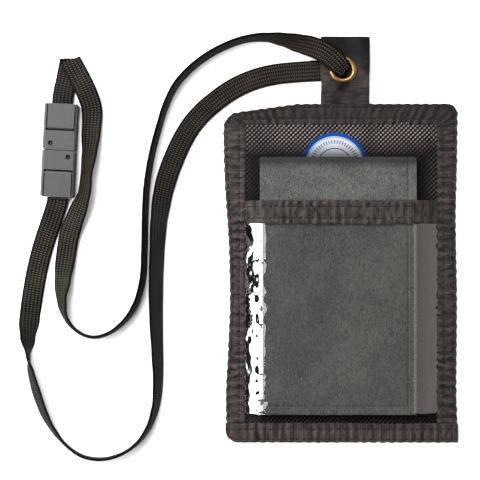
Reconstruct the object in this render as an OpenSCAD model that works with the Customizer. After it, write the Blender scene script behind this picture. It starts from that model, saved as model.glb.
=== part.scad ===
// Neck pouch wallet: a bound nylon panel with a clear pocket, a booklet in the pocket, a hanging
// tab with a brass grommet, and a flat braided neck strap joined by a breakaway buckle.
// It lies on its back: +X across the pouch, +Y towards the hanging tab, +Z up from the surface.
// The origin is on the surface, under the middle of the pouch and its tab.

/* [Pouch] */
// Width of the pouch over its bindings
pouch_w = 112; // [100:1:140]
// Height of the pouch over its bindings
pouch_h = 162; // [150:1:200]
// Thickness of the nylon panel
panel_t = 0.8; // [0.6:0.1:1.2]
// Height that the panel is puffed between its bindings
puff = 0.45; // [0.3:0.05:0.8]
// Radius of the top left corner
top_left_r = 8; // [4:0.5:10]
// Radius of the top right corner
top_right_r = 5; // [2:0.5:8]
// Radius of the bottom left corner
bottom_left_r = 6; // [3:0.5:8]
// Radius of the bottom right corner
bottom_right_r = 1.5; // [1:0.5:5]
// Slope of the top edge towards the left corner, in degrees
top_slope = 8; // [4:1:10]

/* [Binding tape] */
// Thickness of the binding tape
tape_t = 0.45; // [0.3:0.05:0.6]
// Width of the side bindings seen from the front
side_tape_w = 10.5; // [8:0.5:12]
// Width of the top binding seen from the front
top_tape_w = 10; // [8:0.5:12]
// Width of the bottom binding seen from the front
bottom_tape_w = 9.5; // [8:0.5:12]

/* [Clear window] */
// Thickness of the clear vinyl
vinyl_t = 0.4; // [0.3:0.05:0.5]
// Height of the window, from the pouch's bottom edge to its mouth
window_h = 115; // [90:1:125]
// Width of the tape folded over the mouth
mouth_tape_w = 11; // [8:0.5:13]
// How far the window's walls lean in as they rise
wall_lean = 1; // [0.6:0.1:1.6]
// Height of the window's walls
wall_h = 4.8; // [4:0.1:6]

/* [Booklet] */
// Width of the booklet
booklet_w = 74.3; // [60:0.1:80]
// Height of the booklet
booklet_h = 122.4; // [90:0.1:126]
// Thickness of the booklet
booklet_t = 6; // [4:0.1:8]
// Thickness of a cover board
board_t = 1.1; // [0.8:0.1:1.4]
// How far the pages stop short of the cover's edges
page_inset = 1.2; // [0.8:0.1:2.5]
// Space between the booklet and the bottom binding
booklet_rise = 4.4; // [4:0.1:8]
// Distance of the pressed groove from the cover's edge
groove_inset = 4; // [3:0.5:6]

/* [Label] */
// Radius of the round label
label_r = 15.7; // [10:0.1:18]
// Thickness of the round label
label_t = 0.15; // [0.1:0.05:0.2]

/* [Hanging tab] */
// Width of the tab
tab_w = 23.4; // [18:0.2:30]
// Height of the tab above the pouch
tab_rise = 32; // [26:1:40]
// Thickness of one layer of its webbing
tab_layer_t = 0.55; // [0.4:0.05:0.58]
// Length of the tab sewn behind the top binding
tab_sewn = 9; // [6:0.5:9.5]
// Height of the tab's middle above the grommet's middle
grommet_drop = 16; // [14:0.5:18]

/* [Grommet] */
// Outer radius of the grommet
grommet_r = 6.5; // [5.8:0.1:7.5]
// Inner radius of the grommet
grommet_bore_r = 4.1; // [3.9:0.1:4.6]
// Wall of the grommet's barrel
barrel_t = 0.5; // [0.4:0.1:0.8]
// Height of the rolled rim over the tab
rim_h = 0.9; // [0.6:0.1:1.2]
// Thickness of the washer
washer_t = 0.45; // [0.3:0.05:0.6]

/* [Neck strap] */
// Width of the strap
strap_w = 10; // [8:0.5:12]
// Thickness of the strap
strap_t = 1.6; // [1:0.1:2]
// Width of the strap where it is gathered in the grommet
gathered_w = 7.2; // [6:0.1:7.4]
// Thickness of the strap where it is gathered in the grommet
gathered_t = 2.2; // [1.6:0.1:2.6]

/* [Buckle] */
// Width of the buckle
buckle_w = 16.4; // [15.5:0.1:20]
// Length of one buckle half
half_l = 22.2; // [20:0.1:28]
// Thickness of the buckle
buckle_t = 6; // [5.8:0.1:8]
// Thickness of the floor under the strap
floor_t = 1.2; // [1:0.1:1.4]
// Width of a door
door_w = 12.7; // [11:0.1:13]
// Length of a door
door_l = 12.4; // [10:0.1:14]
// Thickness of a door
door_t = 2.2; // [1.8:0.1:2.4]
// Gap around a door
door_gap = 0.5; // [0.3:0.05:0.6]
// Radius of a door's hinge pin
hinge_pin_r = 0.6; // [0.5:0.05:0.7]
// Width of a tongue
tongue_w = 5.7; // [5:0.1:6]
// Length of a tongue beyond the seam
tongue_l = 8.1; // [6:0.1:8.1]
// Thickness of a tongue
tongue_t = 2.5; // [2:0.1:2.6]
// Radius of the hole that shows the catch
catch_hole_r = 1.2; // [0.8:0.1:1.5]
// Radius of the catch's round head
catch_r = 1; // [0.7:0.1:1.1]

/* [Fits] */
// Gap between soft layers sewn together
sewn_gap = 0.05; // [0.02:0.01:0.1]
// Clearance round the booklet
booklet_fit = 0.3; // [0.3:0.05:0.5]
// Clearance round a tongue in its socket
tongue_fit = 0.3; // [0.2:0.05:0.4]
// Radial clearance of a hinge pin
hinge_fit = 0.06; // [0.04:0.01:0.1]
// Gap between the two buckle halves
seam_gap = 0.3; // [0.2:0.05:0.4]

/* [Hidden] */

$fn = 64;
eps = 0.01;
beyond = 20;             // overrun of a cut past the solid it cuts
arc_steps = 12;          // segments in a corner arc

// --- places along Y, with the pouch and its tab centred on the origin
bottom_y = -(pouch_h + tab_rise) / 2;
top_y = bottom_y + pouch_h;
tab_top_y = top_y + tab_rise;
mouth_y = bottom_y + window_h;
side_x = pouch_w / 2;
inner_left_x = -side_x + side_tape_w;
right_tape_trim = 0.7;   // the right binding's front leg is this much narrower
inner_right_x = side_x - side_tape_w + right_tape_trim;
inner_bottom_y = bottom_y + bottom_tape_w;
inner_top_y = top_y - top_tape_w;

// --- heights
panel_z = tape_t;
panel_top = panel_z + panel_t;
puff_top = panel_top + puff;
flange_top = panel_top + vinyl_t;
side_leg_top = flange_top + tape_t;
top_leg_top = panel_top + tape_t;
label_top = puff_top + label_t;
booklet_z = max(label_top, top_leg_top) + booklet_fit;
booklet_top = booklet_z + booklet_t;
crest_z = booklet_top + booklet_fit + tape_t;

// --- booklet, standing on the bottom of the pocket and a little left of the middle
booklet_inset = 17.4;
booklet_x = -side_x + booklet_inset;
booklet_y = inner_bottom_y + booklet_rise;
booklet_right = booklet_x + booklet_w;
page_gap = 0.1;
groove_w = 0.6;
groove_d = 0.3;
board_r = 1;

// --- window walls, inside the side bindings; a shoulder stands this far outside the booklet
shoulder_out = 0.6;
wall_foot = vinyl_t + 2 * sewn_gap;
puff_slope = 2;

// --- label, mostly behind the booklet
label_x = -2.9;
label_drop = 3.8;
label_y = booklet_y + booklet_h - label_drop;

// --- hanging tab and grommet
tab_x = 2.1;
tab_slit = 0.1;
tab_t = 2 * tab_layer_t + tab_slit;
tab_sewn_z = sewn_gap;
tab_sewn_top = panel_top - 2 * eps;
tab_foot = 1.5;
tab_ramp = 9;
washer_lift = 0.15;
washer_z = strap_t + washer_lift;
tab_z = washer_z + washer_t;
tab_front = tab_z + tab_t;
grommet_x = 1;
grommet_y = tab_top_y - grommet_drop;
rim_x0 = grommet_bore_r;
barrel_r = grommet_bore_r + barrel_t;
barrel_fit = 0.02;
rim_fit = 0.005;
washer_foot = [0.4, 0.1];   // inner chamfer of the washer
washer_edge = [0.2, 0.15];  // outer chamfer of the washer
through_turn = 70;

// --- buckle: place of its seam and its lean
seam_x = -134;
seam_y = 42.5;
buckle_lean = -2.9;
pocket_l = door_l + door_gap;
pocket_w = door_w + 2 * door_gap;
pocket_v = half_l - pocket_l;
door_sink = 0.1;
door_top = buckle_t - door_sink;
hinge_z = door_top - door_t / 2;
hinge_v = pocket_v + door_gap + door_t / 2;
pin_reach = 0.8;
socket_d = 0.9;
tongue_u = 1;
tongue_lift = 0.1;
tongue_z = floor_t + tongue_lift + tongue_fit;
tongue_root = 1;
socket_wall = 0.6;
socket_end = pocket_v - socket_wall;
catch_shift = 0.5;
catch_u = tongue_u + tongue_w / 2 + catch_shift;
catch_stand = 1.3 * tongue_fit;
catch_v = 3.2;
shell_r = 1.5;
tail_z = floor_t + sewn_gap;
tail_l = 10;
rib_pitch = 2.4;
rib_w = 0.9;
rib_inset = 0.6;
rib_fit = 0.1;
seam_notch = [0.9, 1.1];
end_chamfer = 0.8;

// --- strap routes: x, y, lift over the surface, and roll of the next stretch in degrees
// (0 lies flat, 90 stands on edge, 180 lies flat with its other face up)
front_route = [
    [1.5, 80.4, 3.4, 0], [-0.8, 82.8, 4.5, 0], [-4, 86, 4.5, 0], [-8.5, 89.4, 3.7, 10],
    [-14, 91.7, 2.2, 28], [-20.5, 93.4, 0.8, 50], [-28, 95.2, 0.1, 70], [-35.5, 96.2, 0.1, 80],
    [-46, 95.2, 0.1, 80], [-56, 91.6, 0.1, 80], [-65, 86.5, 0.1, 80], [-72.6, 80.4, 0.1, 80],
    [-78.6, 73.5, 0.1, 80], [-83, 64.8, 0.1, 80], [-86.6, 53.5, 0.1, 80], [-90, 40.5, 0.1, 80],
    [-92.4, 26, 0.1, 80], [-93.3, 10, 0.1, 80], [-93.6, -6, 0.1, 80], [-94.6, -20, 0.1, 80],
    [-98, -31.2, 0.1, 82], [-104, -39.7, 0.1, 85], [-111, -44.8, 0.1, 86],
    [-118.4, -46.4, 0.1, 84], [-125.3, -43.7, 0.1, 80], [-130.6, -37.9, 0.1, 70],
    [-132.9, -29.5, 0.1, 48], [-132.7, -20, 0.1, 22], [-131.5, -9, 0.1, 6], [-129.4, 3, 0.1, 12],
    [-125.6, 13, 0.1, 40], [-122.2, 22, 0.1, 56], [-121.2, 31, 0.1, 50], [-119.9, 41, 0.1, 30],
    [-119.2, 52, 0.1, 8], [-119, 63, 0.8, 0], [-121.8, 71.4, 2, 0], [-125.6, 79, 1.9, 0],
    [-128.6, 84.6, 1.8, 0], [-129.2, 85.9, 1, 180], [-129.6, 84.4, 0.1, 180],
    [-131.2, 76, 0.1, 180], [-132.4, 70.4, 0.4, 180], [-132.7, 67.8, 1.1, 180],
    [-132.87, 64.85, 1.25, 180]
];
rear_route = [
    [3, 80.9, 0.1, 0], [-1.5, 80.9, 0.1, 0], [-6, 80.9, 0.1, 0], [-13, 80.6, 0.1, 0],
    [-22, 80, 0.1, 0], [-32, 78.9, 0.1, 0], [-42, 76.3, 0.1, 0], [-51.4, 72, 0.1, 0],
    [-59.5, 66.4, 0.1, 0], [-66, 60.8, 0.1, 0], [-71.4, 54.5, 0.1, 0], [-75.9, 47, 0.1, 2],
    [-79.6, 38.8, 0.1, 8], [-82.8, 30, 0.1, 20], [-85.2, 20, 0.1, 36], [-86.8, 8, 0.1, 48],
    [-87.6, -6, 0.1, 50], [-88.1, -22, 0.1, 52], [-88, -38, 0.1, 58], [-87.4, -54, 0.1, 64],
    [-87.1, -68, 0.1, 70], [-88.2, -79.5, 0.1, 76], [-91.4, -88.9, 0.1, 82],
    [-96.8, -96.6, 0.1, 85], [-104.5, -102, 0.1, 86], [-113.5, -104.4, 0.1, 85],
    [-122.6, -103.2, 0.1, 82], [-130.6, -98, 0.1, 75], [-137, -90.4, 0.1, 66],
    [-141.4, -82.4, 0.1, 60], [-144.8, -73, 0.1, 60], [-147.4, -63.5, 0.1, 72],
    [-148.9, -55, 0.1, 105], [-149.3, -47, 0.1, 150], [-148.7, -38, 0.1, 176],
    [-147.4, -27.5, 0.1, 180], [-145, -14, 0.1, 180], [-141.6, -1, 0.1, 180],
    [-137.9, 10, 0.1, 180], [-135.9, 16, 0.7, 180], [-135.3, 18.2, 1.2, 180],
    [-135.13, 20.1, 1.25, 180]
];

// ---------------------------------------------------------------- outlines

// Points of an arc round a centre
function arc(c, r, a0, a1) = [for (k = [0:arc_steps]) let (a = a0 + (a1 - a0) * k / arc_steps)
    c + r * [cos(a), sin(a)]];

// The corners of the pouch as circles; the top edge slopes down to the left one
slope_r = 40;
slope_x = -15;
slope_c = [slope_x, top_y - slope_r];
slope_a = 90 + top_slope;
slope_n = [cos(slope_a), sin(slope_a)];
top_left_x = -side_x + top_left_r;
top_left_y = (slope_n * slope_c + slope_r - top_left_r - slope_n[0] * top_left_x) / slope_n[1];

// Outline of the pouch, drawn in by a distance
function pouch_outline(d) = concat(
    arc([side_x - top_right_r, top_y - top_right_r], top_right_r - d, 0, 90),
    arc(slope_c, slope_r - d, 90, slope_a),
    arc([top_left_x, top_left_y], top_left_r - d, slope_a, 180),
    arc([-side_x + bottom_left_r, bottom_y + bottom_left_r], bottom_left_r - d, 180, 270),
    arc([side_x - bottom_right_r, bottom_y + bottom_right_r], bottom_right_r - d, 270, 360));

// Outline of a rounded rectangle from one corner to the other
function rounded_rect(lo, hi, r) = concat(
    arc([hi[0] - r, hi[1] - r], r, 0, 90), arc([lo[0] + r, hi[1] - r], r, 90, 180),
    arc([lo[0] + r, lo[1] + r], r, 180, 270), arc([hi[0] - r, lo[1] + r], r, 270, 360));

// Across the window: its inner face grown outwards by a distance, standing on a base height
function arch(d, base) = [
    [inner_left_x + wall_foot - d, base],
    [inner_left_x + wall_foot - d, panel_top],
    [inner_left_x + wall_foot + wall_lean - d, panel_top + wall_h + d],
    [booklet_x - shoulder_out - d, crest_z + d],
    [booklet_right + shoulder_out + d, crest_z + d],
    [inner_right_x - wall_foot - wall_lean + d, panel_top + wall_h + d],
    [inner_right_x - wall_foot + d, panel_top],
    [inner_right_x - wall_foot + d, base]];

// Along the window: its inner face grown outwards by a distance, open at the mouth
function keel(d, base) = [
    [inner_bottom_y + wall_foot - d, base],
    [inner_bottom_y + wall_foot - d, panel_top],
    [inner_bottom_y + wall_foot + wall_lean - d, panel_top + wall_h + d],
    [booklet_y - shoulder_out - d, crest_z + d],
    [tab_top_y, crest_z + d],
    [tab_top_y, base]];

// A section in X and Z, drawn out along Y
module along_y(points, y0, y1) {
    translate([0, y1, 0]) rotate([90, 0, 0]) linear_extrude(y1 - y0) polygon(points);
}

// A section in Y and Z, drawn out along X
module along_x(points, x0, x1) {
    translate([x0, 0, 0]) rotate([90, 0, 90]) linear_extrude(x1 - x0) polygon(points);
}

// A box from one corner to the other
module box(lo, hi) {
    translate(lo) cube(hi - lo);
}

// ---------------------------------------------------------------- pouch

// The space that the tab's sewn end fills behind the top binding
module tab_notch() {
    box([tab_x - tab_w / 2 - sewn_gap, top_y - tab_sewn - sewn_gap, -beyond],
        [tab_x + tab_w / 2 + sewn_gap, top_y + beyond, panel_top - eps]);
}

module rear_panel() color("#26211f") difference() {
    union() {
        translate([0, 0, panel_z + sewn_gap / 2]) linear_extrude(panel_t - sewn_gap)
            polygon(pouch_outline(tape_t + sewn_gap));
        intersection() {
            along_y([
                [inner_left_x + eps, panel_z + sewn_gap],
                [inner_left_x + puff_slope, puff_top],
                [inner_right_x - puff_slope, puff_top],
                [inner_right_x - eps, panel_z + sewn_gap]], inner_bottom_y, inner_top_y);
            along_x([
                [inner_bottom_y + eps, panel_z + sewn_gap],
                [inner_bottom_y + puff_slope, puff_top],
                [inner_top_y - puff_slope, puff_top],
                [inner_top_y - eps, panel_z + sewn_gap]], -side_x, side_x);
        }
    }
    tab_notch();
}

// Binding tape folded round the pouch's edge, with its front leg's underside at a height
module bound_edge(leg_z) difference() {
    linear_extrude(leg_z + tape_t) polygon(pouch_outline(0));
    translate([0, 0, tape_t]) linear_extrude(leg_z - tape_t) polygon(pouch_outline(tape_t));
}

module binding_left() color("#2b2522") intersection() {
    bound_edge(flange_top);
    box([-side_x - beyond, inner_bottom_y + sewn_gap, -beyond],
        [inner_left_x, inner_top_y - sewn_gap, beyond]);
}

module binding_right() color("#2b2522") intersection() {
    bound_edge(flange_top);
    box([inner_right_x, inner_bottom_y + sewn_gap, -beyond],
        [side_x + beyond, inner_top_y - sewn_gap, beyond]);
}

module binding_top() color("#2b2522") difference() {
    intersection() {
        bound_edge(panel_top);
        box([-side_x - beyond, inner_top_y, -beyond], [side_x + beyond, top_y + beyond, beyond]);
    }
    tab_notch();
}

module binding_bottom() color("#2b2522") intersection() {
    bound_edge(flange_top);
    box([-side_x - beyond, bottom_y - beyond, -beyond],
        [side_x + beyond, inner_bottom_y, beyond]);
}

// The space inside the window's inner face grown outwards by a distance
module pocket_space(d, base) intersection() {
    along_y(arch(d, base), bottom_y, mouth_y);
    along_x(keel(d, base), -side_x, side_x);
}

module window() color("#a9b0b2", 0.4) difference() {
    union() {
        intersection() {
            translate([0, 0, panel_top]) linear_extrude(vinyl_t - sewn_gap)
                polygon(pouch_outline(tape_t + sewn_gap));
            box([-side_x, bottom_y, -beyond], [side_x, mouth_y, beyond]);
        }
        pocket_space(vinyl_t, panel_top);
    }
    intersection() {
        along_y(arch(0, 0), bottom_y, mouth_y + beyond);
        along_x(keel(0, 0), -side_x, side_x);
    }
}

// Tape folded over the window's mouth; its ends stand on the side bindings
module window_tape() color("#2b2522") difference() {
    along_y(arch(vinyl_t + tape_t, 0), mouth_y - mouth_tape_w, mouth_y + tape_t);
    along_y(arch(-tape_t, -beyond), mouth_y - beyond, mouth_y + beyond);
    difference() {
        along_y(arch(vinyl_t + eps, -beyond), mouth_y - beyond, mouth_y + eps);
        along_y(arch(-eps, -2 * beyond), mouth_y - 2 * beyond, mouth_y + beyond);
    }
    box([-side_x, bottom_y, -beyond], [side_x, top_y, side_leg_top + sewn_gap]);
}

module round_label() color("#2a5fa5") {
    translate([label_x, label_y, puff_top]) cylinder(r = label_r, h = label_t);
}

// ---------------------------------------------------------------- tab and grommet

module hanging_tab() color("#2a2729") {
    foot_y = top_y + tab_foot;
    rise_y = top_y + tab_ramp;
    fold_r = tab_t / 2;
    sewn_mid = (tab_sewn_z + tab_sewn_top) / 2;
    slit_z = tab_z + fold_r;
    slit = [[top_y - tab_sewn - eps, sewn_mid], [foot_y, sewn_mid], [rise_y, slit_z],
        [tab_top_y - fold_r, slit_z]];
    difference() {
        along_x(concat(
            [[top_y - tab_sewn, tab_sewn_z], [foot_y, tab_sewn_z], [rise_y, tab_z]],
            arc([tab_top_y - fold_r, slit_z], fold_r, -90, 90),
            [[rise_y, tab_front], [foot_y, tab_sewn_top], [top_y - tab_sewn, tab_sewn_top]]),
            tab_x - tab_w / 2, tab_x + tab_w / 2);
        along_x(concat(
            [for (p = slit) p - [0, tab_slit / 2]],
            [for (k = [3:-1:0]) slit[k] + [0, tab_slit / 2]]),
            tab_x - beyond, tab_x + beyond);
        translate([grommet_x, grommet_y, 0]) cylinder(r = barrel_r + barrel_fit, h = beyond);
    }
}

// Front half of the grommet: a rolled rim and the barrel through the tab
module grommet() color("#b08d4a") translate([grommet_x, grommet_y, 0]) rotate_extrude() {
    rim_w = grommet_r - rim_x0;
    translate([rim_x0, washer_z]) square([barrel_t, tab_front - washer_z + eps]);
    intersection() {
        translate([rim_x0 + rim_w / 2, tab_front + barrel_fit]) scale([1, 2 * rim_h / rim_w])
            circle(d = rim_w);
        translate([rim_x0, tab_front + rim_fit]) square([rim_w, rim_h]);
    }
}

// Rear washer of the grommet
module grommet_washer() color("#b08d4a") translate([grommet_x, grommet_y, washer_z])
    rotate_extrude() polygon([
        [barrel_r + barrel_fit, washer_foot[1]], [barrel_r + washer_foot[0], 0],
        [grommet_r - washer_edge[0], 0], [grommet_r, washer_edge[1]],
        [grommet_r, washer_t - barrel_fit], [barrel_r + barrel_fit, washer_t - barrel_fit]]);

// ---------------------------------------------------------------- booklet

// Cloth-covered case: front board, spine on the left and back board
module booklet_cover() color("#7d807d") difference() {
    translate([0, 0, booklet_z]) linear_extrude(booklet_t) polygon(rounded_rect(
        [booklet_x, booklet_y], [booklet_right, booklet_y + booklet_h], board_r));
    box([booklet_x + board_t, booklet_y - beyond, booklet_z + board_t],
        [booklet_right + beyond, booklet_y + booklet_h + beyond, booklet_top - board_t]);
    // pressed groove along the right and bottom edges of the front board
    box([booklet_right - groove_inset - groove_w, booklet_y + groove_inset, booklet_top - groove_d],
        [booklet_right - groove_inset, booklet_y + booklet_h + beyond, booklet_top + beyond]);
    box([booklet_x - beyond, booklet_y + groove_inset, booklet_top - groove_d],
        [booklet_right - groove_inset, booklet_y + groove_inset + groove_w, booklet_top + beyond]);
}

module booklet_pages() color("#e6e2d6") {
    translate([0, 0, booklet_z + board_t + page_gap])
        linear_extrude(booklet_t - 2 * board_t - 2 * page_gap) polygon(rounded_rect(
            [booklet_x + board_t + page_gap, booklet_y + page_inset],
            [booklet_right - page_inset, booklet_y + booklet_h - page_inset], board_r - page_gap));
}

// ---------------------------------------------------------------- neck strap

function unit(v) = v / norm(v);

// Centre of the strap at a route point: it rests on the surface on its face or its edge
function centre(p) = [p[0], p[1], p[2] + strap_w / 2 * abs(sin(p[3])) + strap_t / 2 * abs(cos(p[3]))];

// Width direction of the stretch from one route point to the next
function across(p, q) = let (h = unit([q[0] - p[0], q[1] - p[1]]))
    [h[1] * cos(p[3]), -h[0] * cos(p[3]), sin(p[3])];

// Width direction at ring k, between the stretches on its two sides
function ring_across(route, k) = let (n = len(route) - 1)
    unit((k > 0 ? across(route[k - 1], route[k]) : [0, 0, 0])
        + (k < n ? across(route[k], route[k + 1]) : [0, 0, 0]));

// Direction of the strap at ring k
function ring_along(route, k) = let (n = len(route) - 1)
    unit(centre(route[min(k + 1, n)]) - centre(route[max(k - 1, 0)]));

// Section of the strap: eight points round a flat oval
function section(w, t) = [
    [w / 2, t / 5], [w / 2 - t / 3, t / 2], [-w / 2 + t / 3, t / 2], [-w / 2, t / 5],
    [-w / 2, -t / 5], [-w / 2 + t / 3, -t / 2], [w / 2 - t / 3, -t / 2], [w / 2, -t / 5]];
sides = 8;

// One ring of the strap's skin; the first is as narrow as the grommet gathers it
function ring(route, k) = let (
    t = ring_along(route, k),
    a = ring_across(route, k),
    u = unit(a - (a * t) * t),
    n = cross(t, u),
    c = centre(route[k]))
    [for (s = section(k == 0 ? gathered_w : strap_w, strap_t)) c + u * s[0] + n * s[1]];

// The strap along a route, as one closed skin
module strap(route) {
    last = len(route) - 1;
    points = [for (k = [0:last]) each ring(route, k)];
    walls = [for (k = [0:last - 1], j = [0:sides - 1]) let (
        a = k * sides + j, b = k * sides + (j + 1) % sides)
        each [[a, b, b + sides], [a, b + sides, a + sides]]];
    caps = [[for (j = [sides - 1:-1:0]) j], [for (j = [0:sides - 1]) last * sides + j]];
    polyhedron(points, concat(walls, caps), convexity = 10);
}

module strap_front() color("#2d2a24") strap(front_route);

module strap_rear() color("#2d2a24") strap(rear_route);

// The strap's gathered stretch through the grommet
module strap_through() color("#2d2a24") {
    translate([grommet_x, grommet_y, washer_z]) rotate([0, 0, through_turn])
        linear_extrude(tab_front - washer_z + rim_h)
            square([gathered_w, gathered_t], center = true);
}

// ---------------------------------------------------------------- buckle

// Puts a half that is drawn above the seam in its place; the lower one is turned half round
module at_seam(turn) {
    translate([seam_x, seam_y, 0]) rotate([0, 0, buckle_lean + turn]) children();
}

// Section of the shell across the buckle
function shell_section() = rounded_rect([-buckle_w / 2, 0], [buckle_w / 2, buckle_t], shell_r);

// Plan of one half, with a small chamfer where the seam starts
function half_plan() = [
    [-buckle_w / 2 + seam_notch[0], seam_gap / 2], [buckle_w / 2, seam_gap / 2],
    [buckle_w / 2, half_l - end_chamfer], [buckle_w / 2 - end_chamfer, half_l],
    [-buckle_w / 2 + end_chamfer, half_l], [-buckle_w / 2, half_l - end_chamfer],
    [-buckle_w / 2, seam_gap / 2 + seam_notch[1]]];

// One half: strap pocket under the door, socket for the other half's tongue, and its own tongue
module shell_half() color("#34353a") {
    difference() {
        intersection() {
            along_y(shell_section(), 0, half_l);
            linear_extrude(buckle_t) polygon(half_plan());
        }
        box([-pocket_w / 2, pocket_v, floor_t], [pocket_w / 2, half_l + beyond, buckle_t + beyond]);
        box([-tongue_u - tongue_w - tongue_fit, -beyond, tongue_z - tongue_fit],
            [-tongue_u + tongue_fit, socket_end, tongue_z + tongue_t + 2 * tongue_fit]);
        translate([-catch_u, catch_v, tongue_z]) cylinder(r = catch_hole_r, h = beyond);
        translate([-pocket_w / 2 - socket_d, hinge_v, hinge_z]) rotate([0, 90, 0])
            cylinder(r = hinge_pin_r + hinge_fit, h = pocket_w + 2 * socket_d);
    }
    box([tongue_u, -tongue_l, tongue_z],
        [tongue_u + tongue_w, seam_gap / 2 + tongue_root, tongue_z + tongue_t]);
    translate([catch_u, -catch_v, tongue_z + tongue_t - catch_r + catch_stand])
        sphere(r = catch_r);
}

// One door: a plate with a round hinge end, two pins and ribs that grip the strap
module door_half() color("#3d3e42") {
    box([-door_w / 2, hinge_v, door_top - door_t], [door_w / 2, half_l, door_top]);
    translate([-door_w / 2, hinge_v, hinge_z]) rotate([0, 90, 0]) cylinder(d = door_t, h = door_w);
    for (k = [1:3])
        box([-strap_w / 2, half_l - rib_inset - k * rib_pitch, tail_z + strap_t + rib_fit],
            [strap_w / 2, half_l - rib_inset - k * rib_pitch + rib_w, door_top - door_t + eps]);
    reach = door_w / 2 + door_gap + pin_reach;
    translate([-reach, hinge_v, hinge_z]) rotate([0, 90, 0]) cylinder(r = hinge_pin_r, h = 2 * reach);
}

// The strap's end under the door
module tail_half() color("#2d2a24") {
    box([-strap_w / 2, half_l - tail_l, tail_z], [strap_w / 2, half_l - eps, tail_z + strap_t]);
}

module buckle_upper_shell() at_seam(0) shell_half();
module buckle_lower_shell() at_seam(180) shell_half();
module door_upper() at_seam(0) door_half();
module door_lower() at_seam(180) door_half();
module strap_tail_upper() at_seam(0) tail_half();
module strap_tail_lower() at_seam(180) tail_half();

rear_panel();
binding_left();
binding_right();
binding_top();
binding_bottom();
window();
window_tape();
round_label();
hanging_tab();
grommet();
grommet_washer();
booklet_cover();
booklet_pages();
strap_front();
strap_rear();
strap_through();
strap_tail_upper();
strap_tail_lower();
buckle_upper_shell();
buckle_lower_shell();
door_upper();
door_lower();
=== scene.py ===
"""Looks of the neck pouch wallet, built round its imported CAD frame.

The pouch lies on its back on a pale floor. Every piece is in metres in the CAD's own frame: +X across
the pouch, +Y towards the hanging tab, +Z up. Lengths in the classes below are in millimetres and are
turned into metres where a mesh is made.
"""

from __future__ import annotations

import logging
import math
from dataclasses import dataclass, field
from enum import Enum
from typing import Any, Callable, Sequence

import bmesh
import bpy
import numpy as np
from mathutils import Matrix, Vector, noise

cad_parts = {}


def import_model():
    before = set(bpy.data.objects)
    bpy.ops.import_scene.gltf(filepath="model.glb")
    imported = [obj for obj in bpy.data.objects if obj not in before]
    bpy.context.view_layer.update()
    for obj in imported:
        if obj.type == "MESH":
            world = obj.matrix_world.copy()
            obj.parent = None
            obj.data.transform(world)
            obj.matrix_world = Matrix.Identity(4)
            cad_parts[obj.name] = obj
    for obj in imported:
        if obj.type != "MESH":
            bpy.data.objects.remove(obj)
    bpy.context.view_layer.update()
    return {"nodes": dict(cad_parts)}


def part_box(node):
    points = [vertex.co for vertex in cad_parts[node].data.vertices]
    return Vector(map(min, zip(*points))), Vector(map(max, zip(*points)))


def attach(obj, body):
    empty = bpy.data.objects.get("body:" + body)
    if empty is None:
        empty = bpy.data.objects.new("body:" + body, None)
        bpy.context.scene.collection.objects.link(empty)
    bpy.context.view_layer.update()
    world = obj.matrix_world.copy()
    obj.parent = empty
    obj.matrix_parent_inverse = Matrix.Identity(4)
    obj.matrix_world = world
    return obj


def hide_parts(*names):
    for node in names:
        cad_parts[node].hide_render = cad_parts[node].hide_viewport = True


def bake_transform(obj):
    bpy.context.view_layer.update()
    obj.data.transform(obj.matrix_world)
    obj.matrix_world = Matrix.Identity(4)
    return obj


MM = 0.001
TURN = 2 * math.pi
SMOOTH = 42.0
LOG = logging.getLogger("neck_pouch")
Height = Callable[[float, float], float]
Colour = tuple[float, float, float]


class Body(str, Enum):
    """The moving groups of the wallet."""

    POUCH = "pouch"
    BOOKLET = "booklet"
    BUCKLE_UPPER = "buckle_upper"
    DOOR_UPPER = "door_upper"
    DOOR_LOWER = "door_lower"


# ---------------------------------------------------------------- small sums


def ease(low: float, high: float, x: float) -> float:
    """A smooth step from 0 at low to 1 at high."""
    f = min(1.0, max(0.0, (x - low) / (high - low)))
    return f * f * (3 - 2 * f)


def ripple(x: float, y: float = 0.0, seed: float = 0.0) -> float:
    """Smooth noise from about -1 to 1 that never changes between runs."""
    return 2.0 * noise.noise(Vector((x, y, seed * 7.31 + 0.5)))


def blend(low: float, high: float, f: float) -> float:
    """A share f of the way from low to high."""
    return low + (high - low) * f


def distances(points: Sequence) -> list[float]:
    """How far along a line of points each one is."""
    gone = [0.0]
    for p, q in zip(points, points[1:]):
        gone.append(gone[-1] + math.dist(p, q))
    return gone


def on_circle(centre: Sequence[float], r: float, degrees: float) -> Vector:
    """The point of a circle at an angle from +X."""
    a = math.radians(degrees)
    return Vector((centre[0] + r * math.cos(a), centre[1] + r * math.sin(a)))


def bell(x: float, middle: float, width: float) -> float:
    """A bell curve of height 1."""
    return math.exp(-(((x - middle) / width) ** 2))


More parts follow.
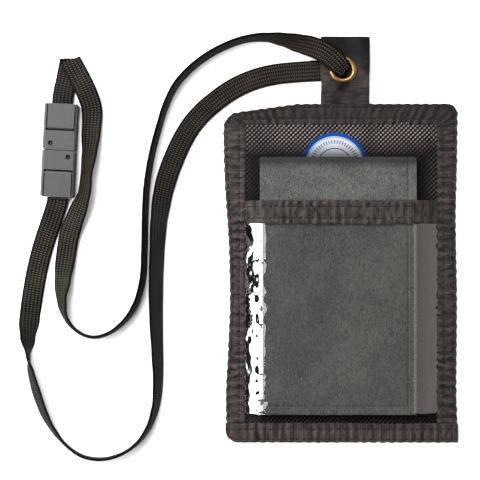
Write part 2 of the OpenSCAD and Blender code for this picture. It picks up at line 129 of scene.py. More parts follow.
@dataclass(frozen=True)
class Profile:
    """A smooth curve through a few knots, flat beyond the first and the last.

    Args:
        knots: pairs of place and value, in rising order of place.
    """

    knots: tuple[tuple[float, float], ...]

    def at(self, x: float) -> float:
        """The curve's value at a place, by monotone cubic pieces.

        Args:
            x: the place.

        Returns:
            The value there.
        """
        k = self.knots
        if x <= k[0][0]:
            return k[0][1]
        if x >= k[-1][0]:
            return k[-1][1]
        i = max(j for j in range(len(k) - 1) if k[j][0] <= x)
        h = k[i + 1][0] - k[i][0]
        f = (x - k[i][0]) / h
        m0, m1 = self._slope(i) * h, self._slope(i + 1) * h
        return (
            (1 + 2 * f) * (1 - f) ** 2 * k[i][1]
            + f * (1 - f) ** 2 * m0
            + f * f * (3 - 2 * f) * k[i + 1][1]
            + f * f * (f - 1) * m1
        )

    def _slope(self, i: int) -> float:
        """Slope at a knot, zero at a turn so that the curve doesn't overshoot."""
        k = self.knots
        if i in (0, len(k) - 1):
            return 0.0
        left = (k[i][1] - k[i - 1][1]) / (k[i][0] - k[i - 1][0])
        right = (k[i + 1][1] - k[i][1]) / (k[i + 1][0] - k[i][0])
        return 0.0 if left * right <= 0 else 2 * left * right / (left + right)


@dataclass(frozen=True)
class Ramp:
    """A level of 1 that turns down softly into one even slope.

    Args:
        start: where the level and the slope would meet.
        slope: fall in each millimetre of the slope.
        softness: how wide the turn is.
    """

    start: float
    slope: float
    softness: float

    def at(self, x: float) -> float:
        """The height at a place."""
        return 1 - self.slope * self.softness * math.log1p(math.exp((x - self.start) / self.softness))


def span(low: float, high: float, step: float, edges: Sequence[float] = ()) -> list[float]:
    """Places from low to high about a step apart, with extra ones near both ends.

    Args:
        low: first place.
        high: last place.
        step: the spacing between them.
        edges: extra distances in from each end.

    Returns:
        The places in rising order.
    """
    count = max(2, round((high - low) / step) + 1)
    places = {round(v, 5) for v in np.linspace(low, high, count)}
    for e in edges:
        places |= {round(low + e, 5), round(high - e, 5)}
    ordered = sorted(places)
    return [v for i, v in enumerate(ordered) if i == 0 or v - ordered[i - 1] > 0.02]


# ---------------------------------------------------------------- mesh making


def add_mesh(name: str, verts: Sequence, faces: Sequence, uvs: Sequence | None = None) -> Any:
    """Makes a smooth-shaded mesh object from points in millimetres.

    Args:
        name: the object's name.
        verts: points in millimetres.
        faces: lists of point numbers.
        uvs: for each face, the pattern coordinates of its corners, in millimetres.

    Returns:
        The object, at the origin, with its place in its mesh.
    """
    mesh = bpy.data.meshes.new(name)
    mesh.from_pydata([(p[0] * MM, p[1] * MM, p[2] * MM) for p in verts], [], [list(f) for f in faces])
    if uvs is not None:
        layer = mesh.uv_layers.new(name="cloth")
        flat = [c for face in uvs for corner in face for c in corner]
        layer.data.foreach_set("uv", flat)
    mesh.validate()
    mesh.update()
    obj = link(name, mesh)
    shade_smooth(obj)
    return obj


def link(name: str, data: Any) -> Any:
    """Puts a mesh, light or camera in the scene as an object of that name."""
    obj = bpy.data.objects.new(name, data)
    bpy.context.scene.collection.objects.link(obj)
    return obj


def shade_smooth(obj: Any, angle: float = SMOOTH) -> None:
    """Smooth shading with sharp edges past an angle in degrees."""
    mesh = obj.data
    mesh.polygons.foreach_set("use_smooth", [True] * len(mesh.polygons))
    mesh.set_sharp_from_angle(angle=math.radians(angle))


def face_outwards(obj: Any, angle: float = SMOOTH) -> Any:
    """Merges doubled points, turns every face outwards and shades it smooth up to an angle in degrees."""
    bm = bmesh.new()
    bm.from_mesh(obj.data)
    bmesh.ops.remove_doubles(bm, verts=bm.verts, dist=1e-7)
    bmesh.ops.recalc_face_normals(bm, faces=bm.faces)
    bm.to_mesh(obj.data)
    bm.free()
    obj.data.update()
    shade_smooth(obj, angle)
    return obj


def sweep(name: str, rings: Sequence[Sequence], lengths: Sequence[float], girths: Sequence) -> Any:
    """A closed skin over a row of rings, capped at both ends.

    Args:
        name: the object's name.
        rings: each ring's points in millimetres, the same number in each.
        lengths: how far along the piece each ring is, for its pattern.
        girths: how far round the ring each point is, for its pattern.

    Returns:
        The object.
    """
    n, m = len(rings), len(rings[0])
    verts = [p for ring in rings for p in ring]
    faces, uvs = [], []
    round_trip = list(girths) + [girths[-1] + (girths[1] - girths[0])]
    for i in range(n - 1):
        for j in range(m):
            k = (j + 1) % m
            faces.append((i * m + j, i * m + k, (i + 1) * m + k, (i + 1) * m + j))
            g0, g1 = round_trip[j], round_trip[j + 1]
            uvs.append(((g0, lengths[i]), (g1, lengths[i]), (g1, lengths[i + 1]), (g0, lengths[i + 1])))
    for i, order in ((0, range(m - 1, -1, -1)), (n - 1, range(m))):
        faces.append([i * m + j for j in order])
        uvs.append([(girths[j], lengths[i]) for j in order])
    return face_outwards(add_mesh(name, verts, faces, uvs))


def plate(
    name: str,
    xs: Sequence[float],
    ys: Sequence[float],
    top: Height,
    bottom: Height,
    corner_r: float = 0.0,
) -> Any:
    """A thin closed slab over a grid, with its corners rounded in plan.

    Args:
        name: the object's name.
        xs: places across, in millimetres.
        ys: places along, in millimetres.
        top: height of the upper skin at a place.
        bottom: height of the lower skin at a place.
        corner_r: radius of the corners.

    Returns:
        The object.
    """
    nx, ny = len(xs), len(ys)

    def rounded(x: float, y: float) -> tuple[float, float]:
        """Where a grid place goes so that the corners are round."""
        cx = min(max(x, xs[0] + corner_r), xs[-1] - corner_r)
        cy = min(max(y, ys[0] + corner_r), ys[-1] - corner_r)
        dx, dy = x - cx, y - cy
        if not dx or not dy:
            return x, y
        shrink = max(abs(dx), abs(dy)) / math.hypot(dx, dy)
        return cx + dx * shrink, cy + dy * shrink

    plan = [rounded(x, y) for y in ys for x in xs]
    verts = [(x, y, top(x, y)) for x, y in plan] + [(x, y, bottom(x, y)) for x, y in plan]
    size = nx * ny
    faces = []
    for j in range(ny - 1):
        for i in range(nx - 1):
            a = j * nx + i
            faces.append((a, a + 1, a + nx + 1, a + nx))
            faces.append((size + a, size + a + nx, size + a + nx + 1, size + a + 1))
    rim = (
        [i for i in range(nx)]
        + [j * nx + nx - 1 for j in range(1, ny)]
        + [(ny - 1) * nx + i for i in range(nx - 2, -1, -1)]
        + [j * nx for j in range(ny - 2, 0, -1)]
    )
    for k, a in enumerate(rim):
        b = rim[(k + 1) % len(rim)]
        faces.append((a, size + a, size + b, b))
    uvs = [[(verts[v][0], verts[v][1]) for v in f] for f in faces]
    return face_outwards(add_mesh(name, verts, faces, uvs))


def lathe(name: str, outline: Sequence, centre: Sequence[float], steps: int = 96) -> Any:
    """A closed ring turned about a vertical axis.

    Args:
        name: the object's name.
        outline: radius and height of each point of the ring's section.
        centre: x and y of the axis, in millimetres.
        steps: facets round the axis.

    Returns:
        The object.
    """
    m = len(outline)
    verts, faces = [], []
    for i in range(steps):
        verts += [(*on_circle(centre, r, 360 * i / steps), z) for r, z in outline]
    for i in range(steps):
        for j in range(m):
            k, n = (j + 1) % m, (i + 1) % steps
            faces.append((i * m + j, i * m + k, n * m + k, n * m + j))
    return face_outwards(add_mesh(name, verts, faces), 50)


def apply_modifiers(obj: Any) -> None:
    """Turns an object's live modifiers into its plain mesh."""
    graph = bpy.context.evaluated_depsgraph_get()
    mesh = bpy.data.meshes.new_from_object(obj.evaluated_get(graph))
    old = obj.data
    obj.modifiers.clear()
    obj.data = mesh
    bpy.data.meshes.remove(old)


def inside_distance(x: float, y: float, low: Sequence[float], high: Sequence[float], r: float) -> float:
    """How far a place is inside a rounded rectangle's edge.

    Args:
        x: the place across.
        y: the place along.
        low: the rectangle's lowest corner.
        high: its highest corner.
        r: its corner radius.

    Returns:
        The distance in from the edge, 0 on it.
    """
    qx = abs(x - (low[0] + high[0]) / 2) - (high[0] - low[0]) / 2 + r
    qy = abs(y - (low[1] + high[1]) / 2) - (high[1] - low[1]) / 2 + r
    return r - math.hypot(max(qx, 0), max(qy, 0)) - min(max(qx, qy), 0)


def rounded_off(d: float, r: float) -> float:
    """How far a rounded edge has dropped at a distance d in from it."""
    return 0.0 if d >= r else r - math.sqrt(max(0.0, r * r - (r - d) ** 2))


# ---------------------------------------------------------------- shader bench


class Value:
    """A number that a shader works out, for use in Python expressions."""

    def __init__(self, bench: Bench, socket: Any) -> None:
        """Wraps an output socket of the bench's material."""
        self.bench = bench
        self.socket = socket

    def maths(self, operation: str, *others: Any, clamp: bool = False, last: bool = False) -> Value:
        """This number and others through one Math node.

        Args:
            operation: the Math node's operation.
            others: numbers or Values for its other sockets.
            clamp: whether the result is kept from 0 to 1.
            last: whether this number comes after the others.

        Returns:
            The result.
        """
        order = (*others, self) if last else (self, *others)
        made = self.bench.add(
            "ShaderNodeMath", {"operation": operation, "use_clamp": clamp}, dict(enumerate(order))
        )
        return Value(self.bench, made.outputs[0])

    def __add__(self, other: Any) -> Value:
        """Sum."""
        return self.maths("ADD", other)

    __radd__ = __add__

    def __sub__(self, other: Any) -> Value:
        """Difference."""
        return self.maths("SUBTRACT", other)

    def __rsub__(self, other: Any) -> Value:
        """Difference from a number."""
        return self.maths("SUBTRACT", other, last=True)

    def __mul__(self, other: Any) -> Value:
        """Product."""
        return self.maths("MULTIPLY", other)

    __rmul__ = __mul__

    def __truediv__(self, other: Any) -> Value:
        """Quotient."""
        return self.maths("DIVIDE", other)

    def __pow__(self, other: Any) -> Value:
        """Power."""
        return self.maths("POWER", other)

    def __abs__(self) -> Value:
        """Size without sign."""
        return self.maths("ABSOLUTE")

    def sin(self) -> Value:
        """Sine."""
        return self.maths("SINE")

    def fract(self) -> Value:
        """Part after the decimal point, always from 0 to 1."""
        return self.maths("FRACT")

    def clamp(self) -> Value:
        """Kept from 0 to 1."""
        return self.maths("ADD", 0.0, clamp=True)

    def above(self, edge: float, softness: float) -> Value:
        """0 below an edge and 1 above it, over a soft band."""
        return ((self - edge) / softness + 0.5).clamp()

    def wave(self, pitch: float, shift: Value | None = None) -> Value:
        """A wave from 0 to 1 that repeats at each pitch, moved on by a shift in radians."""
        phase = self * (TURN / pitch)
        return (phase if shift is None else phase + shift).sin() * 0.5 + 0.5


class Bench:
    """Builds one node material."""

    def __init__(self, name: str) -> None:
        """Starts an empty material of that name."""
        self.material = bpy.data.materials.new(name)
        self.material.use_nodes = True
        self.tree = self.material.node_tree
        self.tree.nodes.clear()

    def add(self, kind: str, settings: dict | None = None, sockets: dict | None = None) -> Any:
        """Adds any node.

        Args:
            kind: the node's type name.
            settings: its properties, set before its sockets.
            sockets: values, sockets or Values for its inputs, by name or number.

        Returns:
            The node.
        """
        node = self.tree.nodes.new(kind)
        for key, value in (settings or {}).items():
            setattr(node, key, value)
        for key, value in (sockets or {}).items():
            self.feed(node.inputs[key], value)
        return node

    def feed(self, socket: Any, value: Any) -> None:
        """Links a Value or socket to an input, or sets the input's own number or colour."""
        if isinstance(value, Value):
            self.tree.links.new(value.socket, socket)
        elif isinstance(value, bpy.types.NodeSocket):
            self.tree.links.new(value, socket)
        elif isinstance(value, (tuple, list)) and len(value) == 3 and socket.type == "RGBA":
            socket.default_value = (*value, 1.0)
        else:
            socket.default_value = value

    def cloth(self) -> tuple[Value, Value]:
        """Pattern coordinates of the piece: millimetres across and along it."""
        uv = self.add("ShaderNodeUVMap", {"uv_map": "cloth"})
        split = self.add("ShaderNodeSeparateXYZ", sockets={0: uv.outputs["UV"]})
        return Value(self, split.outputs["X"]), Value(self, split.outputs["Y"])

    def place(self, centre: Sequence[float] = (0, 0, 0), turn: float = 0.0) -> Any:
        """Object coordinates in millimetres about a centre.

        Args:
            centre: the new origin, in millimetres.
            turn: a turn about Z in degrees.

        Returns:
            The vector socket.
        """
        where = self.add("ShaderNodeTexCoord").outputs["Object"]
        a = math.radians(turn)
        shift = Matrix.Rotation(a, 3, "Z") @ -Vector(centre)
        sockets = {"Vector": where, "Location": shift, "Rotation": (0, 0, a), "Scale": (1 / MM,) * 3}
        return self.add("ShaderNodeMapping", {"vector_type": "POINT"}, sockets).outputs["Vector"]

    def axes(self, vector: Any) -> tuple[Value, Value, Value]:
        """A vector's three numbers."""
        split = self.add("ShaderNodeSeparateXYZ", sockets={0: vector})
        return tuple(Value(self, split.outputs[i]) for i in range(3))

    def noise(
        self, vector: Any, scale: float, detail: float = 2.0, stretch: Sequence[float] = (1, 1, 1)
    ) -> Value:
        """Smooth noise from 0 to 1.

        Args:
            vector: where it is read.
            scale: how many lumps there are in a unit of the vector.
            detail: finer layers added to it.
            stretch: a scale for each axis.

        Returns:
            The noise.
        """
        mapping = self.add("ShaderNodeMapping", sockets={"Vector": vector, "Scale": tuple(stretch)})
        made = self.add(
            "ShaderNodeTexNoise",
            {"noise_dimensions": "3D"},
            {"Vector": mapping.outputs[0], "Scale": scale, "Detail": detail, "Roughness": 0.55},
        )
        return Value(self, made.outputs["Fac"])

    def combine(self, x: Any, y: Any, z: Any = 0.0) -> Any:
        """A vector from three numbers."""
        return self.add("ShaderNodeCombineXYZ", sockets={0: x, 1: y, 2: z}).outputs[0]

    def mix(self, factor: Any, first: Any, second: Any, blend: str = "MIX") -> Any:
        """Two colours mixed.

        Args:
            factor: 0 gives the first, 1 the second.
            first: a colour or colour socket.
            second: a colour or colour socket.
            blend: the way they combine.

        Returns:
            The colour socket.
        """
        node = self.add("ShaderNodeMix", {"data_type": "RGBA", "blend_type": blend, "clamp_factor": True})
        self.feed(node.inputs[0], factor)
        self.feed(node.inputs[6], first)
        self.feed(node.inputs[7], second)
        return node.outputs[2]

    def bump(self, height: Value, distance: float, strength: float = 1.0, normal: Any = None) -> Any:
        """A bumped normal.

        Args:
            height: relief from 0 to 1.
            distance: depth of that relief, in millimetres.
            strength: share of it that shows.
            normal: a normal that it adds to.

        Returns:
            The normal socket.
        """
        sockets = {"Height": height, "Distance": distance * MM, "Strength": strength}
        if normal is not None:
            sockets["Normal"] = normal
        return self.add("ShaderNodeBump", sockets=sockets).outputs["Normal"]

    def coat(self, **sockets: Any) -> Any:
        """Ends the material with a Principled surface; underscores in the names stand for spaces."""
        named = {k.replace("_", " "): v for k, v in sockets.items()}
        return self.done(self.add("ShaderNodeBsdfPrincipled", sockets=named).outputs[0])

    def done(self, surface: Any) -> Any:
        """Ends the material with its surface and returns it."""
        self.add("ShaderNodeOutputMaterial", sockets={"Surface": surface})
        return self.material


# ---------------------------------------------------------------- finishes


@dataclass(frozen=True)
class BasketNylon:
    """Coarse woven nylon: shiny threads in a basket weave, with painted shade round the booklet and patches
    of painted sheen.

    Args:
        low: the booklet's lowest corner, in millimetres.
        high: its highest corner.
    """

    low: Sequence[float]
    high: Sequence[float]
    thread: Colour = (0.145, 0.12, 0.116)
    gap: Colour = (0.0006, 0.0005, 0.0005)
    pitch: float = 2.2
    painted_shade_reach: tuple[tuple[float, float], ...] = ((4.0, 18.0), (0.8, 9.0))

    def make(self) -> Any:
        """Builds the material."""
        b = Bench("basket_nylon")
        flat = b.place()
        x, y, _ = b.axes(flat)
        k = TURN / self.pitch
        over = (x * k).sin() * (y * k).sin()
        slash = ((x - y) * k + math.pi / 2).sin()
        crown = over * 0.4 + slash * 0.12 + 0.5
        # painted shade: the threads are dimmed near the booklet, less so further away from it
        sides = zip((x, y), self.low, self.high, self.painted_shade_reach)
        away = [(abs(v - (lo + hi) / 2) - ((hi - lo) / 2 + calm)) / far for v, lo, hi, (calm, far) in sides]
        clear_of_painted_shade = away[0].maths("MAXIMUM", away[1]).clamp()
        # painted sheen: broad noise patches where the threads are drawn brighter
        painted_sheen_patches = b.noise(flat, 0.055, 2)
        weave_and_painted_light = ((crown * 2.6 - 1.3).clamp() * (clear_of_painted_shade * 0.95 + 0.02) * (painted_sheen_patches * 2.4 - 0.4).clamp()).clamp()
        normal = b.bump(crown, 0.2, 0.6)
        colour = b.mix(weave_and_painted_light, self.gap, self.thread)
        return b.coat(
            Base_Color=colour, Roughness=0.56 - weave_and_painted_light * 0.12, Normal=normal, Specular_IOR_Level=0.06
        )


@dataclass(frozen=True)
class BindingTape:
    """Ribbed nylon tape, brown-black, with crosswise threads that catch the light, painted light and shade
    at the pitch of its puckers, and painted shade towards its right side and its top.
    """

    dark: Colour = (0.002, 0.0016, 0.0015)
    light: Colour = (0.047, 0.038, 0.035)
    rib: float = 0.42
    thread: float = 0.5
    pucker: float = 4.4

    def make(self) -> Any:
        """Builds the material."""
        b = Bench("binding_tape")
        across, along = b.cloth()
        ribs = along.wave(self.rib)
        threads = across.wave(self.thread)
        here = b.combine(across, along)
        streak = b.noise(here, 1.0, 3, (0.16, 1.7, 1))
        cloud = b.noise(here, 0.2, 2)
        # painted light and shade: the tone rises and falls at the puckers' pitch
        fold = along.wave(self.pucker, cloud * 9)
        tone = ribs * 0.16 + threads * 0.06 + (streak - 0.5) * 1.7 + (cloud - 0.5) * 0.8 + fold * 0.3
        x, y, _ = b.axes(b.place())
        # painted shade: darker towards the right, and over the top tape from y 55 mm
        painted_rightward_shade = 1.14 - x.above(-30.0, 30.0) * 0.1 - x.above(38.0, 18.0) * 0.22
        tone = (tone + 0.12).clamp() * painted_rightward_shade * (1 - y.above(55.0, 7.0) * 0.6)
        return b.coat(
            Base_Color=b.mix(tone, self.dark, self.light), Roughness=0.6 - tone * 0.1,
            Normal=b.bump(ribs * 0.7 + threads * 0.3, 0.06, 0.7), Sheen_Weight=0.02,
            Sheen_Roughness=0.5, Specular_IOR_Level=0.1,
        )


@dataclass(frozen=True)
class ClearVinyl:
    """Glossy clear vinyl, a little smoky, clinging to the nylon in patches beside the left seam."""

    smoke: Colour = (0.868, 0.871, 0.866)
    ior: float = 1.62
    gloss: float = 1.55
    stuck_x: float = -43.2
    stuck_y: float = -46.0
    foot_y: float = -82.6

    def make(self) -> Any:
        """Builds the material."""
        b = Bench("clear_vinyl")
        where = b.place()
        swell = b.noise(where, 0.16, 2)
        normal = b.bump(swell, 0.15, 0.3)
        bounce = b.add("ShaderNodeFresnel", sockets={"IOR": self.ior, "Normal": normal})
        x, y, _ = b.axes(where)
        patch = b.noise(where, 0.16, 3, (0.35, 1, 1))
        edge = ((patch - 0.5) * 14.0 + self.stuck_x).maths("MINIMUM", self.stuck_x + 1.7)
        edge = (edge - (1 - y.above(self.stuck_y, 8.0)) * 10.0).maths("MAXIMUM", self.stuck_x - 1.9)
        stuck = 1 - (x - edge).above(0.0, 0.35)
        tight = 1 - x.above(self.stuck_x + 5.4, 1.2)
        foot = y.above(self.foot_y, 0.5) * 0.9 + 0.1
        fresnel = (Value(b, bounce.outputs[0]) * self.gloss - 0.03).clamp().maths("MAXIMUM", tight * 0.6)
        outer_skin = 1 - Value(b, b.add("ShaderNodeNewGeometry").outputs["Backfacing"])
        fresnel = fresnel * (1 - stuck * 0.97) * foot * outer_skin
        through = b.add("ShaderNodeBsdfTransparent", sockets={"Color": self.smoke}).outputs[0]
        sockets = {"Color": (1.0, 0.99, 0.98), "Roughness": 0.05, "Normal": normal}
        gloss = b.add("ShaderNodeBsdfGlossy", sockets=sockets).outputs[0]
        return b.done(b.add("ShaderNodeMixShader", sockets={0: fresnel, 1: through, 2: gloss}).outputs[0])


@dataclass(frozen=True)
class LabelPrint:
    """A round printed label: blue rim, thin pale rings and a ring of plain blue ticks, with painted shade
    on its part near the booklet.
    """

    centre: tuple[float, float]
    radius: float
    blue: Colour = (0.0006, 0.031, 0.15)
    pale: Colour = (0.31, 0.324, 0.342)
    ticks: int = 54
    painted_shade_y: float = 43.0

    def make(self) -> Any:
        """Builds the material."""
        b = Bench("label_print")
        x, y, _ = b.axes(b.place((*self.centre, 0)))
        r = (x * x + y * y).maths("SQRT")
        angle = y.maths("ARCTAN2", x)
        out = self.radius

        def ring(low: float, high: float) -> Value:
            """1 between two radii, with soft edges."""
            return r.above(low, 0.12) * (1 - r.above(high, 0.12))

        tick = abs((angle * (self.ticks / TURN)).fract() - 0.5)
        marks = (1 - tick.above(0.2, 0.08)) * ring(out * 0.65, out * 0.765)
        blue = (ring(out * 0.885, out * 2) + ring(out * 0.852, out * 0.866) + marks * 0.85
                + ring(out * 0.50, out * 0.53) + ring(0, out * 0.22)).clamp()
        weave = b.noise(b.place(), 2.2, 2)
        colour = b.mix(blue, self.pale, self.blue)
        # painted shade: the label darkens below y 43 mm, where the booklet shades it
        wear_and_painted_shade = 1 - y.above(self.painted_shade_y - self.centre[1], 5.0)
        colour = b.mix((weave * 0.2 + wear_and_painted_shade * 0.75).clamp(), colour, (0.12, 0.12, 0.12), "MULTIPLY")
        normal = b.bump(weave, 0.05, 0.5)
        return b.coat(Base_Color=colour, Roughness=0.55, Normal=normal, Specular_IOR_Level=0.05)


@dataclass(frozen=True)
class TabWebbing:
    """Smooth satin webbing with fine crosswise ribs, and painted shade over its folded top end."""

    dark: Colour = (0.0025, 0.0021, 0.0021)
    light: Colour = (0.042, 0.035, 0.035)
    rib: float = 0.55
    folded_y: float = 84.5

    def make(self) -> Any:
        """Builds the material."""
        b = Bench("tab_webbing")
        across, along = b.cloth()
        ribs = along.wave(self.rib)
        here = b.combine(across, along)
        streak = b.noise(here, 1.0, 3, (0.12, 2.4, 1))
        cloud = b.noise(here, 0.1, 2)
        tone = (ribs * 0.14 + (streak - 0.5) * 1.4 + (cloud - 0.5) * 1.9 + 0.3).clamp()
        normal = b.bump(ribs, 0.05, 0.6)
        _, y, _ = b.axes(b.place())
        # painted shade: the webbing is darkened over its folded top end
        tone = tone * (1 - y.above(self.folded_y, 9.0) * 0.93)
        colour = b.mix(tone, self.dark, self.light)
        return b.coat(
            Base_Color=colour, Roughness=0.5 - tone * 0.1, Normal=normal, Specular_IOR_Level=0.06
        )


@dataclass(frozen=True)
class Brass:
    """Polished brass, a little tarnished in its hollows."""

    bright: Colour = (0.24, 0.152, 0.053)
    tarnish: Colour = (0.035, 0.021, 0.008)

    def make(self) -> Any:
        """Builds the material."""
        b = Bench("brass")
        where = b.place()
        blotch = b.noise(where, 0.7, 4)
        scratch = b.noise(where, 3.0, 2, (1, 6, 1))
        stain = blotch.above(0.52, 0.35)
        colour = b.mix(stain * 0.75, self.bright, self.tarnish)
        rough = 0.24 + stain * 0.16 + scratch * 0.06
        return b.coat(Base_Color=colour, Metallic=1.0, Roughness=rough, Normal=b.bump(scratch, 0.012, 0.5))


@dataclass(frozen=True)
class CoverCloth:
    """Grey book cloth with a fine canvas grain, with painted shade over its part above y 14 mm and a band
    of painted shade along its top edge.
    """

    low: Sequence[float]
    high: Sequence[float]
    light: Colour = (0.112, 0.116, 0.109)
    dark: Colour = (0.015, 0.016, 0.015)
    shade: Colour = (0.008, 0.0085, 0.008)
    pitch: float = 0.52
    twill: float = 1.25

    def make(self) -> Any:
        """Builds the material."""
        b = Bench("cover_cloth")
        where = b.place()
        x, y, _ = b.axes(where)
        k = TURN / self.pitch
        weave = (x * k).sin() * (y * k).sin() * 0.5 + 0.5
        slub = b.noise(where, 0.9, 3, (1.6, 0.7, 1))
        grain = b.noise(where, 3.2, 2)
        twill = (x + y).wave(self.twill)
        cloud = b.noise(where, 0.06, 3)
        tone = (slub - 0.5) * 1.5 + (grain - 0.5) * 3.4 + weave * 0.35 + twill * 0.4 + (cloud - 0.5) * 0.9
        colour = b.mix((tone + 0.12).clamp(), self.dark, self.light)
        # painted shade: the cloth above y 14 mm is darkened by about a quarter
        colour = b.mix(y.above(14.0, 7.0) * 0.26, colour, (0.0, 0.0, 0.0))
        ragged = (grain - 0.5) * 3.0
        # painted shade: a ragged dark band along the top edge
        painted_top_shade = (y + ragged).above(self.high[1] - 4.0, 3.4)
        colour = b.mix(painted_top_shade * 0.8, colour, self.shade)
        normal = b.bump(weave * 0.5 + grain * 0.5, 0.12, 0.7)
        return b.coat(Base_Color=colour, Roughness=0.86, Normal=normal, Specular_IOR_Level=0.12)


@dataclass(frozen=True)
class Paper:
    """Edges of many leaves, off-white."""

    dark: Colour = (0.52, 0.49, 0.43)
    light: Colour = (0.82, 0.79, 0.71)
    leaf: float = 0.16

    def make(self) -> Any:
        """Builds the material."""
        b = Bench("paper")
        where = b.place()
        _, _, z = b.axes(where)
        leaf = z.wave(self.leaf, b.noise(where, 0.05, 1) * 9)
        colour = b.mix(leaf * 0.7, self.dark, self.light)
        return b.coat(Base_Color=colour, Roughness=0.85, Normal=b.bump(leaf, 0.04, 0.8))


@dataclass(frozen=True)
class StrapBraid:
    """Flat black braid: lengthwise ribs of small V stitches, olive-brown where they catch the light."""

    dark: Colour = (0.0012, 0.001, 0.0008)
    light: Colour = (0.05, 0.045, 0.035)
    column: float = 1.72
    stitch: float = 1.15
    width: float = 10.0
    edge: float = 1.3

    def make(self) -> Any:
        """Builds the material."""
        b = Bench("strap_braid")
        across, along = b.cloth()
        column = (across / self.column + 0.5).fract() - 0.5
        slant = abs(column) * 1.25
        loop = (along / self.stitch + slant).wave(1.0)
        crown = (1 - abs(column) * 1.9).clamp()
        relief = (loop * 0.65 + 0.35) * crown
        here = b.combine(across, along)
        fray = b.noise(here, 1.4, 3)
        cloud = b.noise(here, 0.06, 2)
        edge = (across / self.edge).clamp() * ((self.width - across) / self.edge).clamp()
        tone = (loop**1.6 * crown * 1.15 + (fray - 0.5) * 0.5 + (cloud - 0.5) * 0.5 - 0.04).clamp() * edge
        colour = b.mix(tone, self.dark, self.light)
        return b.coat(
            Base_Color=colour, Roughness=0.6, Normal=b.bump(relief, 0.28, 0.9), Specular_IOR_Level=0.03
        )


@dataclass(frozen=True)
class BucklePlastic:
    """Satin black moulded plastic with a fine spark-etched grain and rubbed edges."""

    base: Colour = (0.012, 0.012, 0.0118)
    wear_and_painted_shade: Colour = (0.042, 0.042, 0.040)

    def make(self) -> Any:
        """Builds the material."""
        b = Bench("buckle_plastic")
        where = b.place()
        grain = b.noise(where, 5.0, 3)
        haze = b.noise(where, 0.35, 3)
        rub = b.noise(where, 0.9, 4, (1, 3.5, 1)).above(0.6, 0.3)
        colour = b.mix((haze * 0.5 + rub * 0.35).clamp(), self.base, self.wear_and_painted_shade)
        rough = 0.36 + haze * 0.14 + grain * 0.06
        normal = b.bump(grain, 0.03, 0.55)
        return b.coat(Base_Color=colour, Roughness=rough, Normal=normal, Specular_IOR_Level=0.35)


@dataclass(frozen=True)
class SewingThread:
    """Dark polyester thread with its twist showing."""

    dark: Colour = (0.0008, 0.0007, 0.0006)
    light: Colour = (0.009, 0.008, 0.007)
    twist: float = TURN / 11

    def make(self) -> Any:
        """Builds the material."""
        b = Bench("sewing_thread")
        x, y, _ = b.axes(b.place(turn=30))
        twist = (x + y).wave(self.twist)
        colour = b.mix(twist, self.dark, self.light)
        return b.coat(
            Base_Color=colour, Roughness=0.6, Normal=b.bump(twist, 0.05, 0.8), Specular_IOR_Level=0.1
        )


@dataclass(frozen=True)
class PaleFloor:
    """Plain matt white board."""

    dull: Colour = (0.9, 0.9, 0.9)
    bright: Colour = (0.93, 0.93, 0.93)

    def make(self) -> Any:
        """Builds the material."""
        b = Bench("pale_floor")
        colour = b.mix(b.noise(b.place(), 0.02, 2), self.dull, self.bright)
        return b.coat(Base_Color=colour, Roughness=0.95, Specular_IOR_Level=0.0)


@dataclass
class Finishes:
    """Every finish of the wallet, made once.

    Args:
        label: the label's centre and radius.
        cover: the booklet's lowest and highest corners.
    """

    label: LabelPrint
    cover: CoverCloth
    made: dict[str, Any] = field(default_factory=dict)

    def build(self) -> None:
        """Makes the materials."""
        self.made = {
            "nylon_panel": BasketNylon(self.cover.low, self.cover.high).make(),
            "binding_tape": BindingTape().make(),
            "clear_vinyl": ClearVinyl().make(),
            "label_print": self.label.make(),
            "tab_webbing": TabWebbing().make(),
            "brass": Brass().make(),
            "cover_cloth": self.cover.make(),
            "paper": Paper().make(),
            "strap_braid": StrapBraid().make(),
            "buckle_plastic": BucklePlastic().make(),
            "thread": SewingThread().make(),
        }


def dress(
    obj: Any, finishes: Finishes, slot: str, body: Body | None, nodes: Sequence[str] = (),
    finish: str | None = None,
) -> None:
    """Gives a piece its finish, its body and the CAD nodes that it stands for.

    Args:
        obj: the piece.
        finishes: the materials.
        slot: the record's material slot.
        body: the body it moves with, or None to leave it on no body.
        nodes: CAD nodes that it replaces.
        finish: the finish where it isn't the slot's own.
    """
    obj.data.materials.clear()
    obj.data.materials.append(finishes.made[finish or slot])
    if body is not None:
        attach(obj, body.value)
    if nodes:
        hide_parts(*nodes)
    carrier = body.value if body is not None else "two bodies"
    LOG.info("%s: %d faces, %s, on %s", obj.name, len(obj.data.polygons), finish or slot, carrier)


# ---------------------------------------------------------------- the pouch


@dataclass
class Outline:
    """The pouch's edge as it lies, drawn in a little at its sewn waist."""

    left: Profile = Profile((
        (-97, -54.6), (-76, -54.9), (-53, -53.9), (-29, -53.0), (-5, -53.4), (19, -54.9), (34, -55.7),
        (48, -56.0),
    ))
    right: Profile = Profile(((-97, 55.9), (-70, 55.3), (-30, 55.6), (10, 55.0), (40, 55.7), (60, 55.9)))
    half_width: float = 56.0
    inner_left: float = -45.5
    inner_right: float = 46.2
    inner_top: float = 55.0
    inner_bottom: float = -87.7
    top: float = 65.0
    bottom: float = -97.0
    bottom_left: float = -55.1
    corner_top_left: float = 8.0
    corner_top_right: float = 5.0
    corner_bottom_left: float = 6.0
    slope: float = 8.0
    slope_from: float = -20.6
    corner_split: float = 138.0

    def top_left_centre(self) -> tuple[float, float]:
        """Centre of the rounded top left corner, touching the sloping edge."""
        cx = self.corner_top_left - self.half_width
        a = math.radians(self.slope)
        drop = (self.slope_from - cx) * math.tan(a)
        return cx, self.top - drop - self.corner_top_left / math.cos(a)


